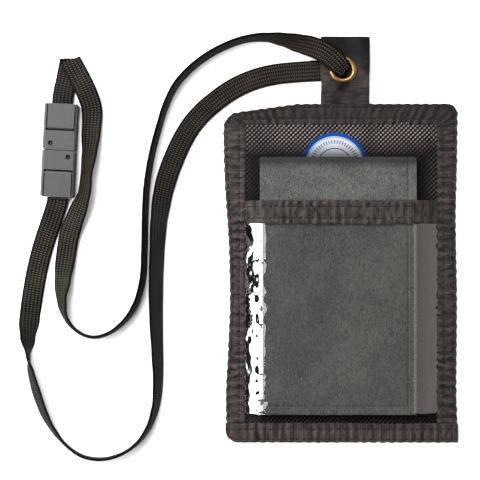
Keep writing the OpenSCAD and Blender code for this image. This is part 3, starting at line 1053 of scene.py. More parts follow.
@dataclass
class FoldedTape:
    """A tape folded over an edge, puckered by its sewing, with two rows of stitches.

    Args:
        name: the piece's name.
        outer: points of the folded edge, in plan.
        inner: points of the front leg's inner edge, one for each outer point.
        top: height of the front at each point.
        bottom: height of the back at each point, or None where it lies on the floor.
        pucker: height of the puckers.
        pitch: their spacing.
        seed: what makes this tape's puckers its own.
        calm: share of the puckers kept at each point along the tape.
    """

    name: str
    outer: list[Vector]
    inner: list[Vector]
    top: list[float]
    bottom: list[float] | None = None
    pucker: float = 0.46
    pitch: float = 4.4
    seed: float = 1.0
    calm: list[float] | None = None
    thickness: float = 0.45
    outer_row: float = 1.6
    inner_row: float = 3.0
    seams: list[list[Vector]] = field(default_factory=list)

    def relief(self, s: float, a: float, width: float) -> float:
        """Height of the sewn surface over its mean.

        Args:
            s: distance along the tape.
            a: distance in from the folded edge.
            width: the front leg's width there.

        Returns:
            The height, pulled down along both rows of stitches.
        """
        drift = ripple(s * 0.07, 0.3, self.seed) * 2.2
        phase = TURN * (s + drift) / self.pitch
        wave = math.sin(phase + 0.9 * ripple(a * 0.25, s * 0.06, self.seed + 2))
        sharp = math.copysign(abs(wave) ** 0.7, wave)
        size = 0.55 + 0.45 * ripple(s * 0.11, a * 0.1, self.seed + 4)
        rows = bell(a, self.outer_row, 0.55) + bell(a, width - self.inner_row, 0.55)
        folds = self.pucker * size * sharp * (1 - 0.55 * min(1.0, rows))
        return folds - 0.22 * rows

    def build(self) -> Any:
        """Builds the tape's mesh and keeps the lines that its stitches follow.

        Returns:
            The piece.
        """
        lengths = distances(self.outer)
        rings, rows = [], ([], [])
        for i, s in enumerate(lengths):
            p, q = self.outer[i], self.inner[i]
            inward = (q - p).normalized()
            width = (q - p).length
            keep = 1.0 if self.calm is None else self.calm[i]
            top, low = self.top[i], self.bottom[i] if self.bottom else 0.0
            half = (top - low) / 2
            uneven = 0.6 + 0.4 * ripple(s * 0.2, 9, self.seed)
            wobble = 0.28 * keep * math.sin(TURN * s / self.pitch) * uneven

            def at(a: float, z: float) -> Vector:
                """A point of the ring at a distance in from the edge."""
                lean = max(0.0, 1 - a / 2.5)
                flat = p + inward * (a + wobble * lean)
                return Vector((flat.x, flat.y, z))

            ring = []
            for a in np.linspace(width, half, 19):
                edge = 0.3 * ease(width - 0.5, width, a)
                ring.append(at(a, top + keep * self.relief(s, a, width) * ease(0, 1.6, a) - edge))
            for t in np.linspace(0, math.pi, 9)[1:-1]:
                ring.append(at(half - half * math.sin(t), low + half + half * math.cos(t)))
            for start, end, z in ((half, width, low), (width - 0.1, half + 0.1, low + self.thickness),
                                  (half + 0.3, width - 0.1, top - self.thickness)):
                ring += [at(a, z) for a in np.linspace(start, end, 5)]
            rings.append(ring)
            for row, a in zip(rows, (self.outer_row, width - self.inner_row)):
                row.append(at(a, top + keep * self.relief(s, a, width) + 0.06))
        self.seams = list(rows)
        return sweep(self.name, rings, lengths, distances(rings[0]))


@dataclass
class StitchRows:
    """Rows of lock stitches laid along seam lines by a node tree."""

    pitch: float = 2.9
    length: float = 2.3
    radius: float = 0.24

    def sizes(self) -> dict[str, float]:
        """The tree's named inputs, in metres."""
        lengths = {"Stitch Pitch": self.pitch, "Stitch Length": self.length, "Thread Radius": self.radius}
        return {name: length * MM for name, length in lengths.items()}

    def tree(self, material: Any) -> Any:
        """Builds the node tree that lays one stitch at each step of a seam.

        Args:
            material: the thread's finish.

        Returns:
            The node group.
        """
        group = bpy.data.node_groups.new("stitch_rows", "GeometryNodeTree")
        face = group.interface
        face.new_socket("Seams", in_out="INPUT", socket_type="NodeSocketGeometry")
        for label, value in self.sizes().items():
            socket = face.new_socket(label, in_out="INPUT", socket_type="NodeSocketFloat")
            socket.default_value = value
        face.new_socket("Stitches", in_out="OUTPUT", socket_type="NodeSocketGeometry")

        def node(kind: str, sockets: dict | None = None, **settings: Any) -> Any:
            """Adds a node with its settings and its linked or set sockets."""
            made = group.nodes.new(kind)
            for key, value in settings.items():
                setattr(made, key, value)
            for key, value in (sockets or {}).items():
                if isinstance(value, bpy.types.NodeSocket):
                    group.links.new(value, made.inputs[key])
                else:
                    made.inputs[key].default_value = value
            return made

        inputs = node("NodeGroupInput").outputs
        lines = node("GeometryNodeMeshToCurve", {0: inputs["Seams"]})
        even = node(
            "GeometryNodeResampleCurve", {"Curve": lines.outputs[0], "Length": inputs["Stitch Pitch"]},
            mode="LENGTH",
        )
        tangent = node("GeometryNodeInputTangent")
        turn = node("FunctionNodeAlignRotationToVector", {"Vector": tangent.outputs[0]}, axis="X")
        bead = node("GeometryNodeMeshUVSphere", {"Segments": 7, "Rings": 6, "Radius": 1.0})
        half = node("ShaderNodeMath", {0: inputs["Stitch Length"], 1: 0.5}, operation="MULTIPLY")
        thick = inputs["Thread Radius"]
        size = node("ShaderNodeCombineXYZ", {0: half.outputs[0], 1: thick, 2: thick})
        sway = node(
            "FunctionNodeRandomValue", {"Min": (0.88, 0.9, 0.9), "Max": (1.08, 1.1, 1.1), "Seed": 11},
            data_type="FLOAT_VECTOR",
        )
        scale = node("ShaderNodeVectorMath", {0: size.outputs[0], 1: sway.outputs[0]}, operation="MULTIPLY")
        laid = node("GeometryNodeInstanceOnPoints", {
            "Points": even.outputs[0], "Instance": bead.outputs[0], "Rotation": turn.outputs[0],
            "Scale": scale.outputs[0],
        })
        real = node("GeometryNodeRealizeInstances", {0: laid.outputs[0]})
        dressed = node("GeometryNodeSetMaterial", {0: real.outputs[0], "Material": material})
        group.links.new(dressed.outputs[0], node("NodeGroupOutput").inputs[0])
        return group

    def build(self, name: str, seams: Sequence[Sequence[Vector]], material: Any) -> Any:
        """Lays stitches along seams.

        Args:
            name: the piece's name.
            seams: the lines to follow, in millimetres.
            material: the thread's finish.

        Returns:
            The stitches as one plain mesh.
        """
        verts: list[tuple] = []
        edges: list[tuple[int, int]] = []
        for line in seams:
            start = len(verts)
            verts += [tuple(p * MM) for p in line]
            edges += [(start + i, start + i + 1) for i in range(len(line) - 1)]
        mesh = bpy.data.meshes.new(name)
        mesh.from_pydata(verts, edges, [])
        obj = link(name, mesh)
        modifier = obj.modifiers.new("stitches", "NODES")
        modifier.node_group = self.tree(material)
        wanted = self.sizes()
        for item in modifier.node_group.interface.items_tree:
            if item.in_out == "INPUT" and item.name in wanted:
                modifier[item.identifier] = wanted[item.name]
        bpy.context.view_layer.update()
        apply_modifiers(obj)
        shade_smooth(obj, 60)
        return obj


@dataclass
class Pouch:
    """The bound nylon back, its bindings, the clear window and the label.

    Args:
        finishes: the materials.
        edge: the pouch's outline.
    """

    finishes: Finishes
    edge: Outline = field(default_factory=Outline)
    panel_low: float = 0.5
    panel_top: float = 1.25
    puff: float = 0.4
    mouth: float = 18.2
    vinyl: float = 0.3
    roof_low: float = 1.3
    roof_high: float = 9.2
    label_r: float = 15.7
    label_centre: tuple[float, float] = (-2.9, 35.5)
    tape: float = 0.45
    tape_step: float = 0.55
    unsewn_end: float = 12.0
    corner_steps: int = 12
    side_top: float = 2.1
    side_drop: float = 0.35
    seams: list[list[Vector]] = field(default_factory=list)

    left_wall: Ramp = Ramp(37.03, 0.1135, 0.8)
    right_wall: Ramp = Ramp(35.83, 0.0945, 1.5)
    foot_wall: Profile = Profile(((-87.6, 0), (-83.9, 0.03), (-83.5, 0.12), (-83.15, 0.93), (-81.6, 1.0)))

    def panel_height(self, x: float, y: float) -> float:
        """Upper surface of the nylon, pillowed between its bindings."""
        e = self.edge
        d = min(x - e.inner_left, e.inner_right - x, y - e.inner_bottom, e.inner_top - y)
        pillow = self.puff * ease(-0.5, 7, d)
        sag = 0.16 * ripple(x * 0.045, y * 0.045, 3) + 0.09 * ripple(x * 0.12, y * 0.12, 5)
        return self.panel_top + pillow + sag * ease(0, 5, d)

    def build_panel(self) -> None:
        """The nylon back."""
        e = self.edge
        xs = span(e.inner_left - 6.5, e.inner_right + 6.5, 1.1)
        ys = span(e.inner_bottom - 6.5, e.inner_top + 1.6, 1.1)
        panel = plate("rear_panel_cloth", xs, ys, self.panel_height, lambda x, y: self.panel_low)
        dress(panel, self.finishes, "nylon_panel", Body.POUCH, ["rear_panel"])
        size = ((xs[-1] - xs[0]) * MM, (ys[-1] - ys[0]) * MM)

    def build_label(self) -> None:
        """The round label, lying on the nylon."""
        rings, steps = 16, 72
        verts = [self.label_centre]
        for i in range(1, rings + 1):
            r = self.label_r * i / rings
            verts += [on_circle(self.label_centre, r, 360 * j / steps) for j in range(steps)]
        size = len(verts)
        points = [(x, y, self.panel_height(x, y) + 0.16) for x, y in verts]
        points += [(x, y, self.panel_height(x, y) + 0.02) for x, y in verts]
        faces = []
        for j in range(steps):
            k = (j + 1) % steps
            faces += [(0, 1 + j, 1 + k), (size, size + 1 + k, size + 1 + j)]
            for i in range(rings - 1):
                a, b = 1 + i * steps + j, 1 + i * steps + k
                c, d = size + a, size + b
                faces += [(a, a + steps, b + steps, b), (c, d, d + steps, c + steps)]
            a, b = 1 + (rings - 1) * steps + j, 1 + (rings - 1) * steps + k
            faces.append((a, size + a, size + b, b))
        label = face_outwards(add_mesh("round_label_print", points, faces))
        dress(label, self.finishes, "label_print", Body.POUCH, ["round_label"])

    def roof(self, x: float, y: float) -> float:
        """Share of its full height that the window has at a place."""
        ragged = 0.9 * ripple(y * 0.2, 0, 27) + 0.6 * ripple(y * 0.55, 0, 28)
        shifted = x + ragged * ease(-41, -38, x) * (1 - ease(3, 7, y))
        across = self.left_wall.at(-shifted) if x < 0 else self.right_wall.at(x)
        return across * self.foot_wall.at(y)

    def window_height(self, x: float, y: float) -> float:
        """Lower surface of the clear window.

        Its left wall is crumpled where it is sewn in, and its right wall billows a little.
        """
        roof = self.roof(x, y)
        rise = blend(self.roof_low, self.roof_high, roof)
        near_left = ease(-46.0, -44.4, x) * (1 - ease(-43.2, -38.2, x))
        crease = ripple(x * 0.22, y * 0.13, 21) + 0.5 * ripple(x * 0.5, y * 0.3, 22)
        near_right = ease(47, 45.2, x) * (1 - ease(44.5, 38.0, x))
        billow = ripple(x * 0.2, y * 0.09, 23) + 0.4 * ripple(x * 0.5, y * 0.22, 24)
        brow = bell(x, -37.4, 1.6) * ripple(y * 0.3, 0, 25) * 0.25
        swell = 0.07 * ripple(x * 0.03, y * 0.03, 26) * roof
        hold = ease(self.edge.inner_bottom - 1, self.edge.inner_bottom + 3, y) * (1 - ease(4, 7.5, y))
        crumple = 0.06 + 0.12 * ease(-62, -40, y)
        return rise + hold * (near_left * crumple * crease + near_right * 0.08 * billow + brow) + swell

    def build_window(self) -> None:
        """The clear vinyl, tucked under the bindings on three sides."""
        e = self.edge
        xs = span(e.inner_left - 3, -33, 0.55) + span(-32, 32, 1.6) + span(33, e.inner_right + 3, 0.7)
        ys = span(e.inner_bottom - 2.5, -84.1, 0.7) + span(-83.95, -82.6, 0.15)
        ys += span(-82.2, self.mouth, 0.8)
        low = self.window_height

        def lower(x: float, y: float) -> float:
            """The inner skin, flat on the nylon under the bindings."""
            return max(low(x, y), self.panel_height(x, y) + 0.06)

        window = plate("window_vinyl", xs, ys, lambda x, y: lower(x, y) + self.vinyl, lower)
        dress(window, self.finishes, "clear_vinyl", Body.POUCH, ["window"])
        size = ((xs[-1] - xs[0] + 5) * MM, (ys[-1] - ys[0]) * MM)

    def sew(self, tape: FoldedTape, node: str) -> None:
        """Builds a tape, dresses it and keeps its seams."""
        piece = tape.build()
        dress(piece, self.finishes, "binding_tape", Body.POUCH, [node])
        self.seams += [row[3:-3] for row in tape.seams]

    def build_side_tapes(self) -> None:
        """The bindings down both sides."""
        e = self.edge
        centre = e.top_left_centre()
        ys = np.arange(e.inner_bottom - 1.0, centre[1], self.tape_step)
        outer = [Vector((e.left.at(y), y)) for y in ys]
        inner = [Vector((e.inner_left, y)) for y in ys]
        for k in range(1, self.corner_steps + 1):
            f = k / self.corner_steps
            outer.append(on_circle(centre, e.corner_top_left, blend(180, e.corner_split, f)))
            inner.append(Vector((e.inner_left, blend(centre[1], e.inner_top, f))))
        self.sew(FoldedTape("binding_left_tape", outer, inner, self.side_tops(inner)), "binding_left")
        ys = np.arange(e.inner_bottom - 1.0, e.inner_top - 1.0, self.tape_step)
        outer = [Vector((e.right.at(y), y)) for y in ys]
        inner = [Vector((e.inner_right + 0.3 * ripple(y * 0.08, 0, 31), y)) for y in ys]
        tape = FoldedTape("binding_right_tape", outer, inner, self.side_tops(inner), pucker=0.4, seed=5.0)
        self.sew(tape, "binding_right")

    def side_tops(self, line: Sequence[Vector]) -> list[float]:
        """Height of a side tape along a line: lower beside the open top of the pocket."""
        return [self.side_top - self.side_drop * ease(20, 50, p.y) for p in line]

    def build_top_tape(self) -> None:
        """The binding across the top, round both corners."""
        e, steps = self.edge, self.corner_steps
        outer, inner = [], []
        for k in range(steps + 1):
            turn = blend(e.corner_split, 90 + e.slope, k / steps)
            outer.append(on_circle(e.top_left_centre(), e.corner_top_left, turn))
            inner.append(Vector((e.inner_left + blend(-0.4, 1.2, k / steps), e.inner_top)))
        r, inner_r = e.corner_top_right, 1.2
        right = Vector((e.half_width - r, e.top - r))
        inner_right = Vector((e.inner_right - inner_r, e.inner_top - inner_r))
        start, inner_start = outer[-1].x, inner[-1].x
        fall = math.tan(math.radians(e.slope))
        for x in np.arange(start + self.tape_step, right.x, self.tape_step):
            along = (x - start) / (right.x - start)
            dip = max(0.0, e.slope_from - x) + 0.6 * bell(x, e.slope_from, 5)
            outer.append(Vector((x, e.top - dip * fall)))
            inner.append(Vector((blend(inner_start, inner_right.x, along), e.inner_top)))
        for k in range(1, steps + 1):
            outer.append(on_circle(right, r, 90 - 90 * k / steps))
            inner.append(on_circle(inner_right, inner_r, 90 - 75 * k / steps))
        for y in np.arange(right.y - self.tape_step, e.inner_top - 1.4, -self.tape_step):
            outer.append(Vector((e.right.at(y), y)))
            inner.append(Vector((e.inner_right, min(inner[-1].y, y))))
        top = [1.6 + 0.5 * (1 - ease(0, 6, i)) for i in range(len(outer))]
        self.sew(FoldedTape("binding_top_tape", outer, inner, top, pucker=0.4, seed=9.0), "binding_top")

    def build_bottom_tape(self) -> None:
        """The binding across the bottom, its ends lying over the side tapes."""
        e = self.edge
        left, right = e.bottom_left, e.half_width
        xs = [left + d for d in (0.02, 0.15, 0.4, 0.8)]
        xs += [*np.arange(left + 1.3, right, self.tape_step), right]
        outer = [Vector((x, e.bottom + rounded_off(x - left, e.corner_bottom_left))) for x in xs]
        inner = [Vector((x, e.inner_bottom + 0.25 * ripple(x * 0.07, 0, 33))) for x in xs]
        top = [2.25 + 0.3 * ease(44, 47, abs(x)) for x in xs]
        tape = FoldedTape("binding_bottom_tape", outer, inner, top, pucker=0.44, seed=13.0)
        self.sew(tape, "binding_bottom")

    def build_mouth_tape(self) -> None:
        """The tape folded over the window's mouth, down to the side bindings at both ends."""
        e = self.edge
        xs = span(e.inner_left + 0.05, e.inner_right - 0.05, self.tape_step)
        outer = [Vector((x, self.mouth + self.tape)) for x in xs]
        inner = [Vector((x, 7.5 + 0.2 * ripple(x * 0.08, 0, 35))) for x in xs]
        height = [blend(self.roof_low, self.roof_high, self.roof(x, 10)) for x in xs]
        top = [max(h, 1.9) + self.vinyl + self.tape for h in height]
        low = [max(h - self.tape, self.panel_height(x, self.mouth) + 0.05) for x, h in zip(xs, height)]
        calm = [ease(-44, -30, x) * (1 - ease(30, 36, x)) * 0.9 + 0.1 for x in xs]
        tape = FoldedTape(
            "window_tape_fold", outer, inner, top, low, pucker=0.5, pitch=4.1, seed=17.0, calm=calm,
            outer_row=2.9, inner_row=2.7,
        )
        self.sew(tape, "window_tape")
        plain_end = round(self.unsewn_end / self.tape_step)
        self.seams[-2:] = [row[:-plain_end] for row in self.seams[-2:]]

    def build_stitches(self) -> None:
        """Both rows of thread on every tape."""
        stitches = StitchRows().build("sewing_stitches", self.seams, self.finishes.made["thread"])
        dress(stitches, self.finishes, "binding_tape", Body.POUCH, finish="thread")

    def build(self) -> None:
        """Builds the whole pouch."""
        self.build_panel()
        self.build_label()
        self.build_window()
        self.build_side_tapes()
        self.build_top_tape()
        self.build_bottom_tape()
        self.build_mouth_tape()
        self.build_stitches()


# ---------------------------------------------------------------- tab and grommet


@dataclass
class HangingTab:
    """The folded webbing tab and its brass grommet.

    Args:
        finishes: the materials.
    """

    finishes: Finishes
    width: float = 23.4
    middle: float = 2.1
    layer: float = 0.55
    fold_r: float = 0.33
    sewn_y: float = 56.0
    top_y: float = 96.9
    low_z: float = 2.2
    grommet: tuple[float, float] = (1.0, 81.0)
    rim_r: float = 6.5
    bore_r: float = 4.1
    washer_z: float = 1.76

    def path(self) -> list[tuple[float, float]]:
        """The webbing's way from its sewn end up the back, over the fold and down the front."""
        r, flat = self.fold_r, self.low_z + 0.27
        back = [(self.sewn_y, 0.32), (66.5, 0.34), (69, 0.8), (71.5, 1.7), (74, flat)]
        back += [(y, flat) for y in np.arange(76, self.top_y - 1.4, 1.5)]
        turn = [tuple(on_circle((self.top_y - 0.6, flat + r), r, a)) for a in range(-80, 81, 20)]
        front = [(y, z + 2 * r) for y, z in reversed(back)]
        front[-1] = (self.sewn_y, 0.95)
        front[-2] = (66.2, 0.97)
        return back + turn + front

    def build_webbing(self) -> None:
        """The folded strip, cut through for the grommet."""
        route = self.path()
        lengths = distances(route)
        steps = 26
        rings = []
        for i, (y, z) in enumerate(route):
            before, after = route[max(i - 1, 0)], route[min(i + 1, len(route) - 1)]
            dy, dz = after[0] - before[0], after[1] - before[1]
            size = math.hypot(dy, dz)
            ny, nz = -dz / size, dy / size
            ring = []
            for side in (1, -1):
                for k in range(steps + 1):
                    f = k / steps if side > 0 else 1 - k / steps
                    x = self.middle + self.width * (f - 0.5)
                    curl = 0.4 * ripple(x * 0.09, y * 0.07, 41) + 0.2 * ripple(x * 0.2, y * 0.16, 42)
                    curl *= ease(70, 80, y) * ease(4.5, 9, math.dist((x, y), self.grommet))
                    droop = -0.5 * ease(6, 12, x - self.middle) * ease(84, 96, y)
                    thin = self.layer / 2 * min(1.0, 0.35 + 3 * min(f, 1 - f) * steps / 6)
                    waist = (x - self.middle) * -0.02 * bell(y, 74, 6)
                    ring.append((x + waist, y + side * ny * thin, z + side * nz * thin + curl + droop))
            rings.append(ring)
        girths = [k * self.width / steps for k in range(steps + 1)] * 2
        tab = sweep("hanging_tab_webbing", rings, lengths, girths)
        self.cut_hole(tab)
        dress(tab, self.finishes, "tab_webbing", Body.POUCH, ["hanging_tab"])

    def cut_hole(self, tab: Any) -> None:
        """Cuts the grommet's hole through both layers."""
        bpy.ops.mesh.primitive_cylinder_add(
            vertices=48, radius=(self.bore_r + 0.45) * MM, depth=0.02,
            location=(self.grommet[0] * MM, self.grommet[1] * MM, 0.003),
        )
        cutter = bpy.context.active_object
        hole = tab.modifiers.new("hole", "BOOLEAN")
        hole.operation = "DIFFERENCE"
        hole.solver = "EXACT"
        hole.object = cutter
        apply_modifiers(tab)
        bpy.data.objects.remove(cutter)
        shade_smooth(tab)

    def build_grommet(self) -> None:
        """Rolled front rim with its barrel, and the washer behind."""
        seat = self.low_z + 1.2
        rim, bore, z = self.rim_r, self.bore_r, self.washer_z
        angles = [math.radians(t) for t in range(0, 181, 12)]
        roll = [((rim + bore + (rim - bore) * math.cos(a)) / 2, seat + math.sin(a)) for a in angles]
        barrel = [(bore, seat - 0.3), (bore, z + 0.3), (bore + 0.15, z + 0.06), (bore + 0.45, z),
                  (bore + 0.48, z + 0.4), (bore + 0.45, seat - 0.05)]
        ring = lathe("grommet_brass", roll + barrel, self.grommet)
        dress(ring, self.finishes, "brass", Body.POUCH, ["grommet"])
        hole = bore + 0.52
        section = [(hole, z + 0.1), (hole + 0.35, z), (rim - 0.3, z), (rim, z + 0.14), (rim, z + 0.4),
                   (hole, z + 0.43)]
        washer = lathe("grommet_washer_brass", section, self.grommet)
        dress(washer, self.finishes, "brass", Body.POUCH, ["grommet_washer"])

    def build(self) -> None:
        """Builds the tab and its grommet."""
        self.build_webbing()
        self.build_grommet()


# ---------------------------------------------------------------- booklet


@dataclass
class Booklet:
    """The cloth-covered booklet in the pocket.

    Args:
        finishes: the materials.
        low: lowest corner of its case, in millimetres.
        high: highest corner.
    """

    finishes: Finishes
    low: Vector
    high: Vector
    board: float = 1.1
    corner: float = 1.0
    groove_inset: float = 4.0
    page_inset: float = 1.2
    spine: float = 1.3

    def groove(self, x: float, y: float) -> float:
        """Depth of the pressed groove near the right and bottom edges."""
        gx, gy = self.high.x - self.groove_inset, self.low.y + self.groove_inset
        depth = 0.0
        if y > gy - 0.5:
            depth = max(depth, bell(x, gx, 0.5))
        if x < gx + 0.5:
            depth = max(depth, bell(y, gy, 0.5))
        return 0.42 * depth

    def build_board(self, name: str, z0: float, z1: float, front: bool) -> Any:
        """A cloth-covered board with rounded edges.

        Args:
            name: the piece's name.
            z0: its underside.
            z1: its top.
            front: whether it has the groove and the padded top edge.

        Returns:
            The piece.
        """
        lo, hi = self.low, self.high
        edges = (0.08, 0.25, 0.5, 0.85)
        fine = (-0.9, -0.55, -0.3, 0.0, 0.3, 0.55, 0.9)
        gx, gy = hi.x - self.groove_inset, lo.y + self.groove_inset
        xs = sorted(set(span(lo.x, hi.x, 1.5, edges)) | {round(gx + d, 4) for d in fine})
        ys = sorted(set(span(lo.y, hi.y, 1.5, edges)) | {round(gy + d, 4) for d in fine})

        def top(x: float, y: float) -> float:
            """Upper face, rounded at its edges."""
            d = inside_distance(x, y, lo, hi, self.corner)
            z = z1 - rounded_off(d, 0.5)
            if front:
                z -= self.groove(x, y) + 0.55 * ease(hi.y - 4.5, hi.y, y) ** 1.5
                z += 0.05 * ripple(x * 0.03, y * 0.03, 51)
            return z

        def under(x: float, y: float) -> float:
            """Lower face, rounded at its edges."""
            return z0 + rounded_off(inside_distance(x, y, lo, hi, self.corner), 0.45)

        return plate(name, xs, ys, top, under, self.corner)

    def build(self) -> None:
        """Builds the case and its leaves."""
        lo, hi = self.low, self.high
        front = self.build_board("booklet_front_board", hi.z - self.board, hi.z, True)
        back = self.build_board("booklet_back_board", lo.z, lo.z + self.board, False)
        xs = span(lo.x, lo.x + self.spine, 0.3)
        ys = span(lo.y + 0.3, hi.y - 0.3, 2.5, (0.2, 0.5))

        def bulge(x: float) -> float:
            """How far in the spine's rounded outer face is."""
            return 0.35 + rounded_off(x - lo.x, 0.6)

        spine = plate("booklet_spine", xs, ys, lambda x, y: hi.z - bulge(x), lambda x, y: lo.z + bulge(x))
        for piece in (front, back, spine):
            dress(piece, self.finishes, "cover_cloth", Body.BOOKLET, ["booklet_cover"])
        inset = self.page_inset
        plo = Vector((lo.x + self.board + 0.3, lo.y + inset))
        phi = Vector((hi.x - inset, hi.y - inset))

        def leaf_edge(x: float, y: float) -> float:
            """How far in from the case the leaves are, rounded at their edge."""
            return self.board + 0.1 + rounded_off(inside_distance(x, y, plo, phi, self.corner), 0.12)

        pages = plate(
            "booklet_leaves", span(plo.x, phi.x, 4, (0.1, 0.3)), span(plo.y, phi.y, 4, (0.1, 0.3)),
            lambda x, y: hi.z - leaf_edge(x, y), lambda x, y: lo.z + leaf_edge(x, y), self.corner,
        )
        dress(pages, self.finishes, "paper", Body.BOOKLET, ["booklet_pages"])


# ---------------------------------------------------------------- neck strap

# Strap routes in metres, as in the part: x, y, lift over the surface, and roll of the next stretch
# in degrees (0 lies flat, 90 stands on edge, 180 lies flat with its other face up).
FRONT_ROUTE = (
    (0.0015, 0.0804, 0.0034, 0), (-0.0008, 0.0828, 0.0045, 0), (-0.004, 0.086, 0.0045, 0),
    (-0.0085, 0.0894, 0.0037, 10), (-0.014, 0.0917, 0.0022, 28), (-0.0205, 0.0934, 0.0008, 50),
    (-0.028, 0.0952, 0.0001, 70), (-0.0355, 0.0962, 0.0001, 80), (-0.046, 0.0952, 0.0001, 80),
    (-0.056, 0.0916, 0.0001, 80), (-0.065, 0.0865, 0.0001, 80), (-0.0726, 0.0804, 0.0001, 80),
    (-0.0786, 0.0735, 0.0001, 80), (-0.083, 0.0648, 0.0001, 80), (-0.0866, 0.0535, 0.0001, 80),
    (-0.09, 0.0405, 0.0001, 80), (-0.0924, 0.026, 0.0001, 80), (-0.0933, 0.01, 0.0001, 80),
    (-0.0936, -0.006, 0.0001, 80), (-0.0946, -0.02, 0.0001, 80), (-0.098, -0.0312, 0.0001, 82),
    (-0.104, -0.0397, 0.0001, 85), (-0.111, -0.0448, 0.0001, 86), (-0.1184, -0.0464, 0.0001, 84),
    (-0.1253, -0.0437, 0.0001, 80), (-0.1306, -0.0379, 0.0001, 70), (-0.1329, -0.0295, 0.0001, 48),
    (-0.1327, -0.02, 0.0001, 22), (-0.1315, -0.009, 0.0001, 6), (-0.1294, 0.003, 0.0001, 12),
    (-0.1256, 0.013, 0.0001, 40), (-0.1222, 0.022, 0.0001, 56), (-0.1212, 0.031, 0.0001, 50),
    (-0.1199, 0.041, 0.0001, 30), (-0.1192, 0.052, 0.0001, 8), (-0.119, 0.063, 0.0008, 0),
    (-0.1218, 0.0714, 0.002, 0), (-0.1256, 0.079, 0.0019, 0), (-0.1286, 0.0846, 0.0018, 0),
    (-0.1292, 0.0859, 0.001, 180), (-0.1296, 0.0844, 0.0001, 180), (-0.1312, 0.076, 0.0001, 180),
    (-0.1324, 0.0704, 0.0004, 180), (-0.1327, 0.0678, 0.0011, 180), (-0.13287, 0.06485, 0.00125, 180),
)
REAR_ROUTE = (
    (0.003, 0.0809, 0.0001, 0), (-0.0015, 0.0809, 0.0001, 0), (-0.006, 0.0809, 0.0001, 0),
    (-0.013, 0.0806, 0.0001, 0), (-0.022, 0.08, 0.0001, 0), (-0.032, 0.0789, 0.0001, 0),
    (-0.042, 0.0763, 0.0001, 0), (-0.0514, 0.072, 0.0001, 0), (-0.0595, 0.0664, 0.0001, 0),
    (-0.066, 0.0608, 0.0001, 0), (-0.0714, 0.0545, 0.0001, 0), (-0.0759, 0.047, 0.0001, 2),
    (-0.0796, 0.0388, 0.0001, 8), (-0.0828, 0.03, 0.0001, 20), (-0.0852, 0.02, 0.0001, 36),
    (-0.0868, 0.008, 0.0001, 48), (-0.0876, -0.006, 0.0001, 50), (-0.0881, -0.022, 0.0001, 52),
    (-0.088, -0.038, 0.0001, 58), (-0.0874, -0.054, 0.0001, 64), (-0.0871, -0.068, 0.0001, 70),
    (-0.0882, -0.0795, 0.0001, 76), (-0.0914, -0.0889, 0.0001, 82), (-0.0968, -0.0966, 0.0001, 85),
    (-0.1045, -0.102, 0.0001, 86), (-0.1135, -0.1044, 0.0001, 85), (-0.1226, -0.1032, 0.0001, 82),
    (-0.1306, -0.098, 0.0001, 75), (-0.137, -0.0904, 0.0001, 66), (-0.1414, -0.0824, 0.0001, 60),
    (-0.1448, -0.073, 0.0001, 60), (-0.1474, -0.0635, 0.0001, 72), (-0.1489, -0.055, 0.0001, 105),
    (-0.1493, -0.047, 0.0001, 150), (-0.1487, -0.038, 0.0001, 176), (-0.1474, -0.0275, 0.0001, 180),
    (-0.145, -0.014, 0.0001, 180), (-0.1416, -0.001, 0.0001, 180), (-0.1379, 0.01, 0.0001, 180),
    (-0.1359, 0.016, 0.0007, 180), (-0.1353, 0.0182, 0.0012, 180), (-0.13513, 0.0201, 0.00125, 180),
)


@dataclass
class Ribbon:
    """A flat ribbed braid swept along a line with a width direction at each point.

    Args:
        width: full width.
        thickness: full thickness.
        ribs: lengthwise ribs on each face.
    """

    width: float = 10.0
    thickness: float = 1.6
    ribs: int = 6
    per_rib: int = 5
    rib_depth: float = 0.14

    def section(self, width: float, thickness: float) -> list[tuple[float, float]]:
        """Points round the braid's section, ribbed on both faces.

        Args:
            width: width here.
            thickness: thickness here.

        Returns:
            Places across and through the braid.
        """
        points, count = [], self.ribs * self.per_rib
        for side in (1, -1):
            for k in range(count + 1):
                f = k / count
                across = side * width * (0.5 - f)
                lobe = abs(math.sin(math.pi * f * self.ribs)) ** 0.6
                end = math.sqrt(max(0.0, 1 - abs(2 * f - 1) ** 5))
                through = side * (thickness / 2 * (0.25 + 0.75 * end) - self.rib_depth * (1 - lobe) * end)
                points.append((across, through))
        return points

    def build(
        self, name: str, line: Sequence[Vector], across: Sequence[Vector], widths: Sequence[float],
        thicknesses: Sequence[float] | None = None,
    ) -> Any:
        """Sweeps the braid.

        Args:
            name: the piece's name.
            line: its centre line, in millimetres.
            across: its width direction at each point.
            widths: its width at each point.
            thicknesses: its thickness at each point, or all the same.

        Returns:
            The piece.
        """
        rings, last = [], len(line) - 1
        for i, c in enumerate(line):
            along = (line[min(i + 1, last)] - line[max(i - 1, 0)]).normalized()
            wide = (across[i] - along * across[i].dot(along)).normalized()
            up = along.cross(wide)
            thick = self.thickness if thicknesses is None else thicknesses[i]
            rings.append([c + wide * a + up * t for a, t in self.section(widths[i], thick)])
        count = self.ribs * self.per_rib
        return sweep(name, rings, distances(line), [self.width * k / count for k in range(count + 1)] * 2)


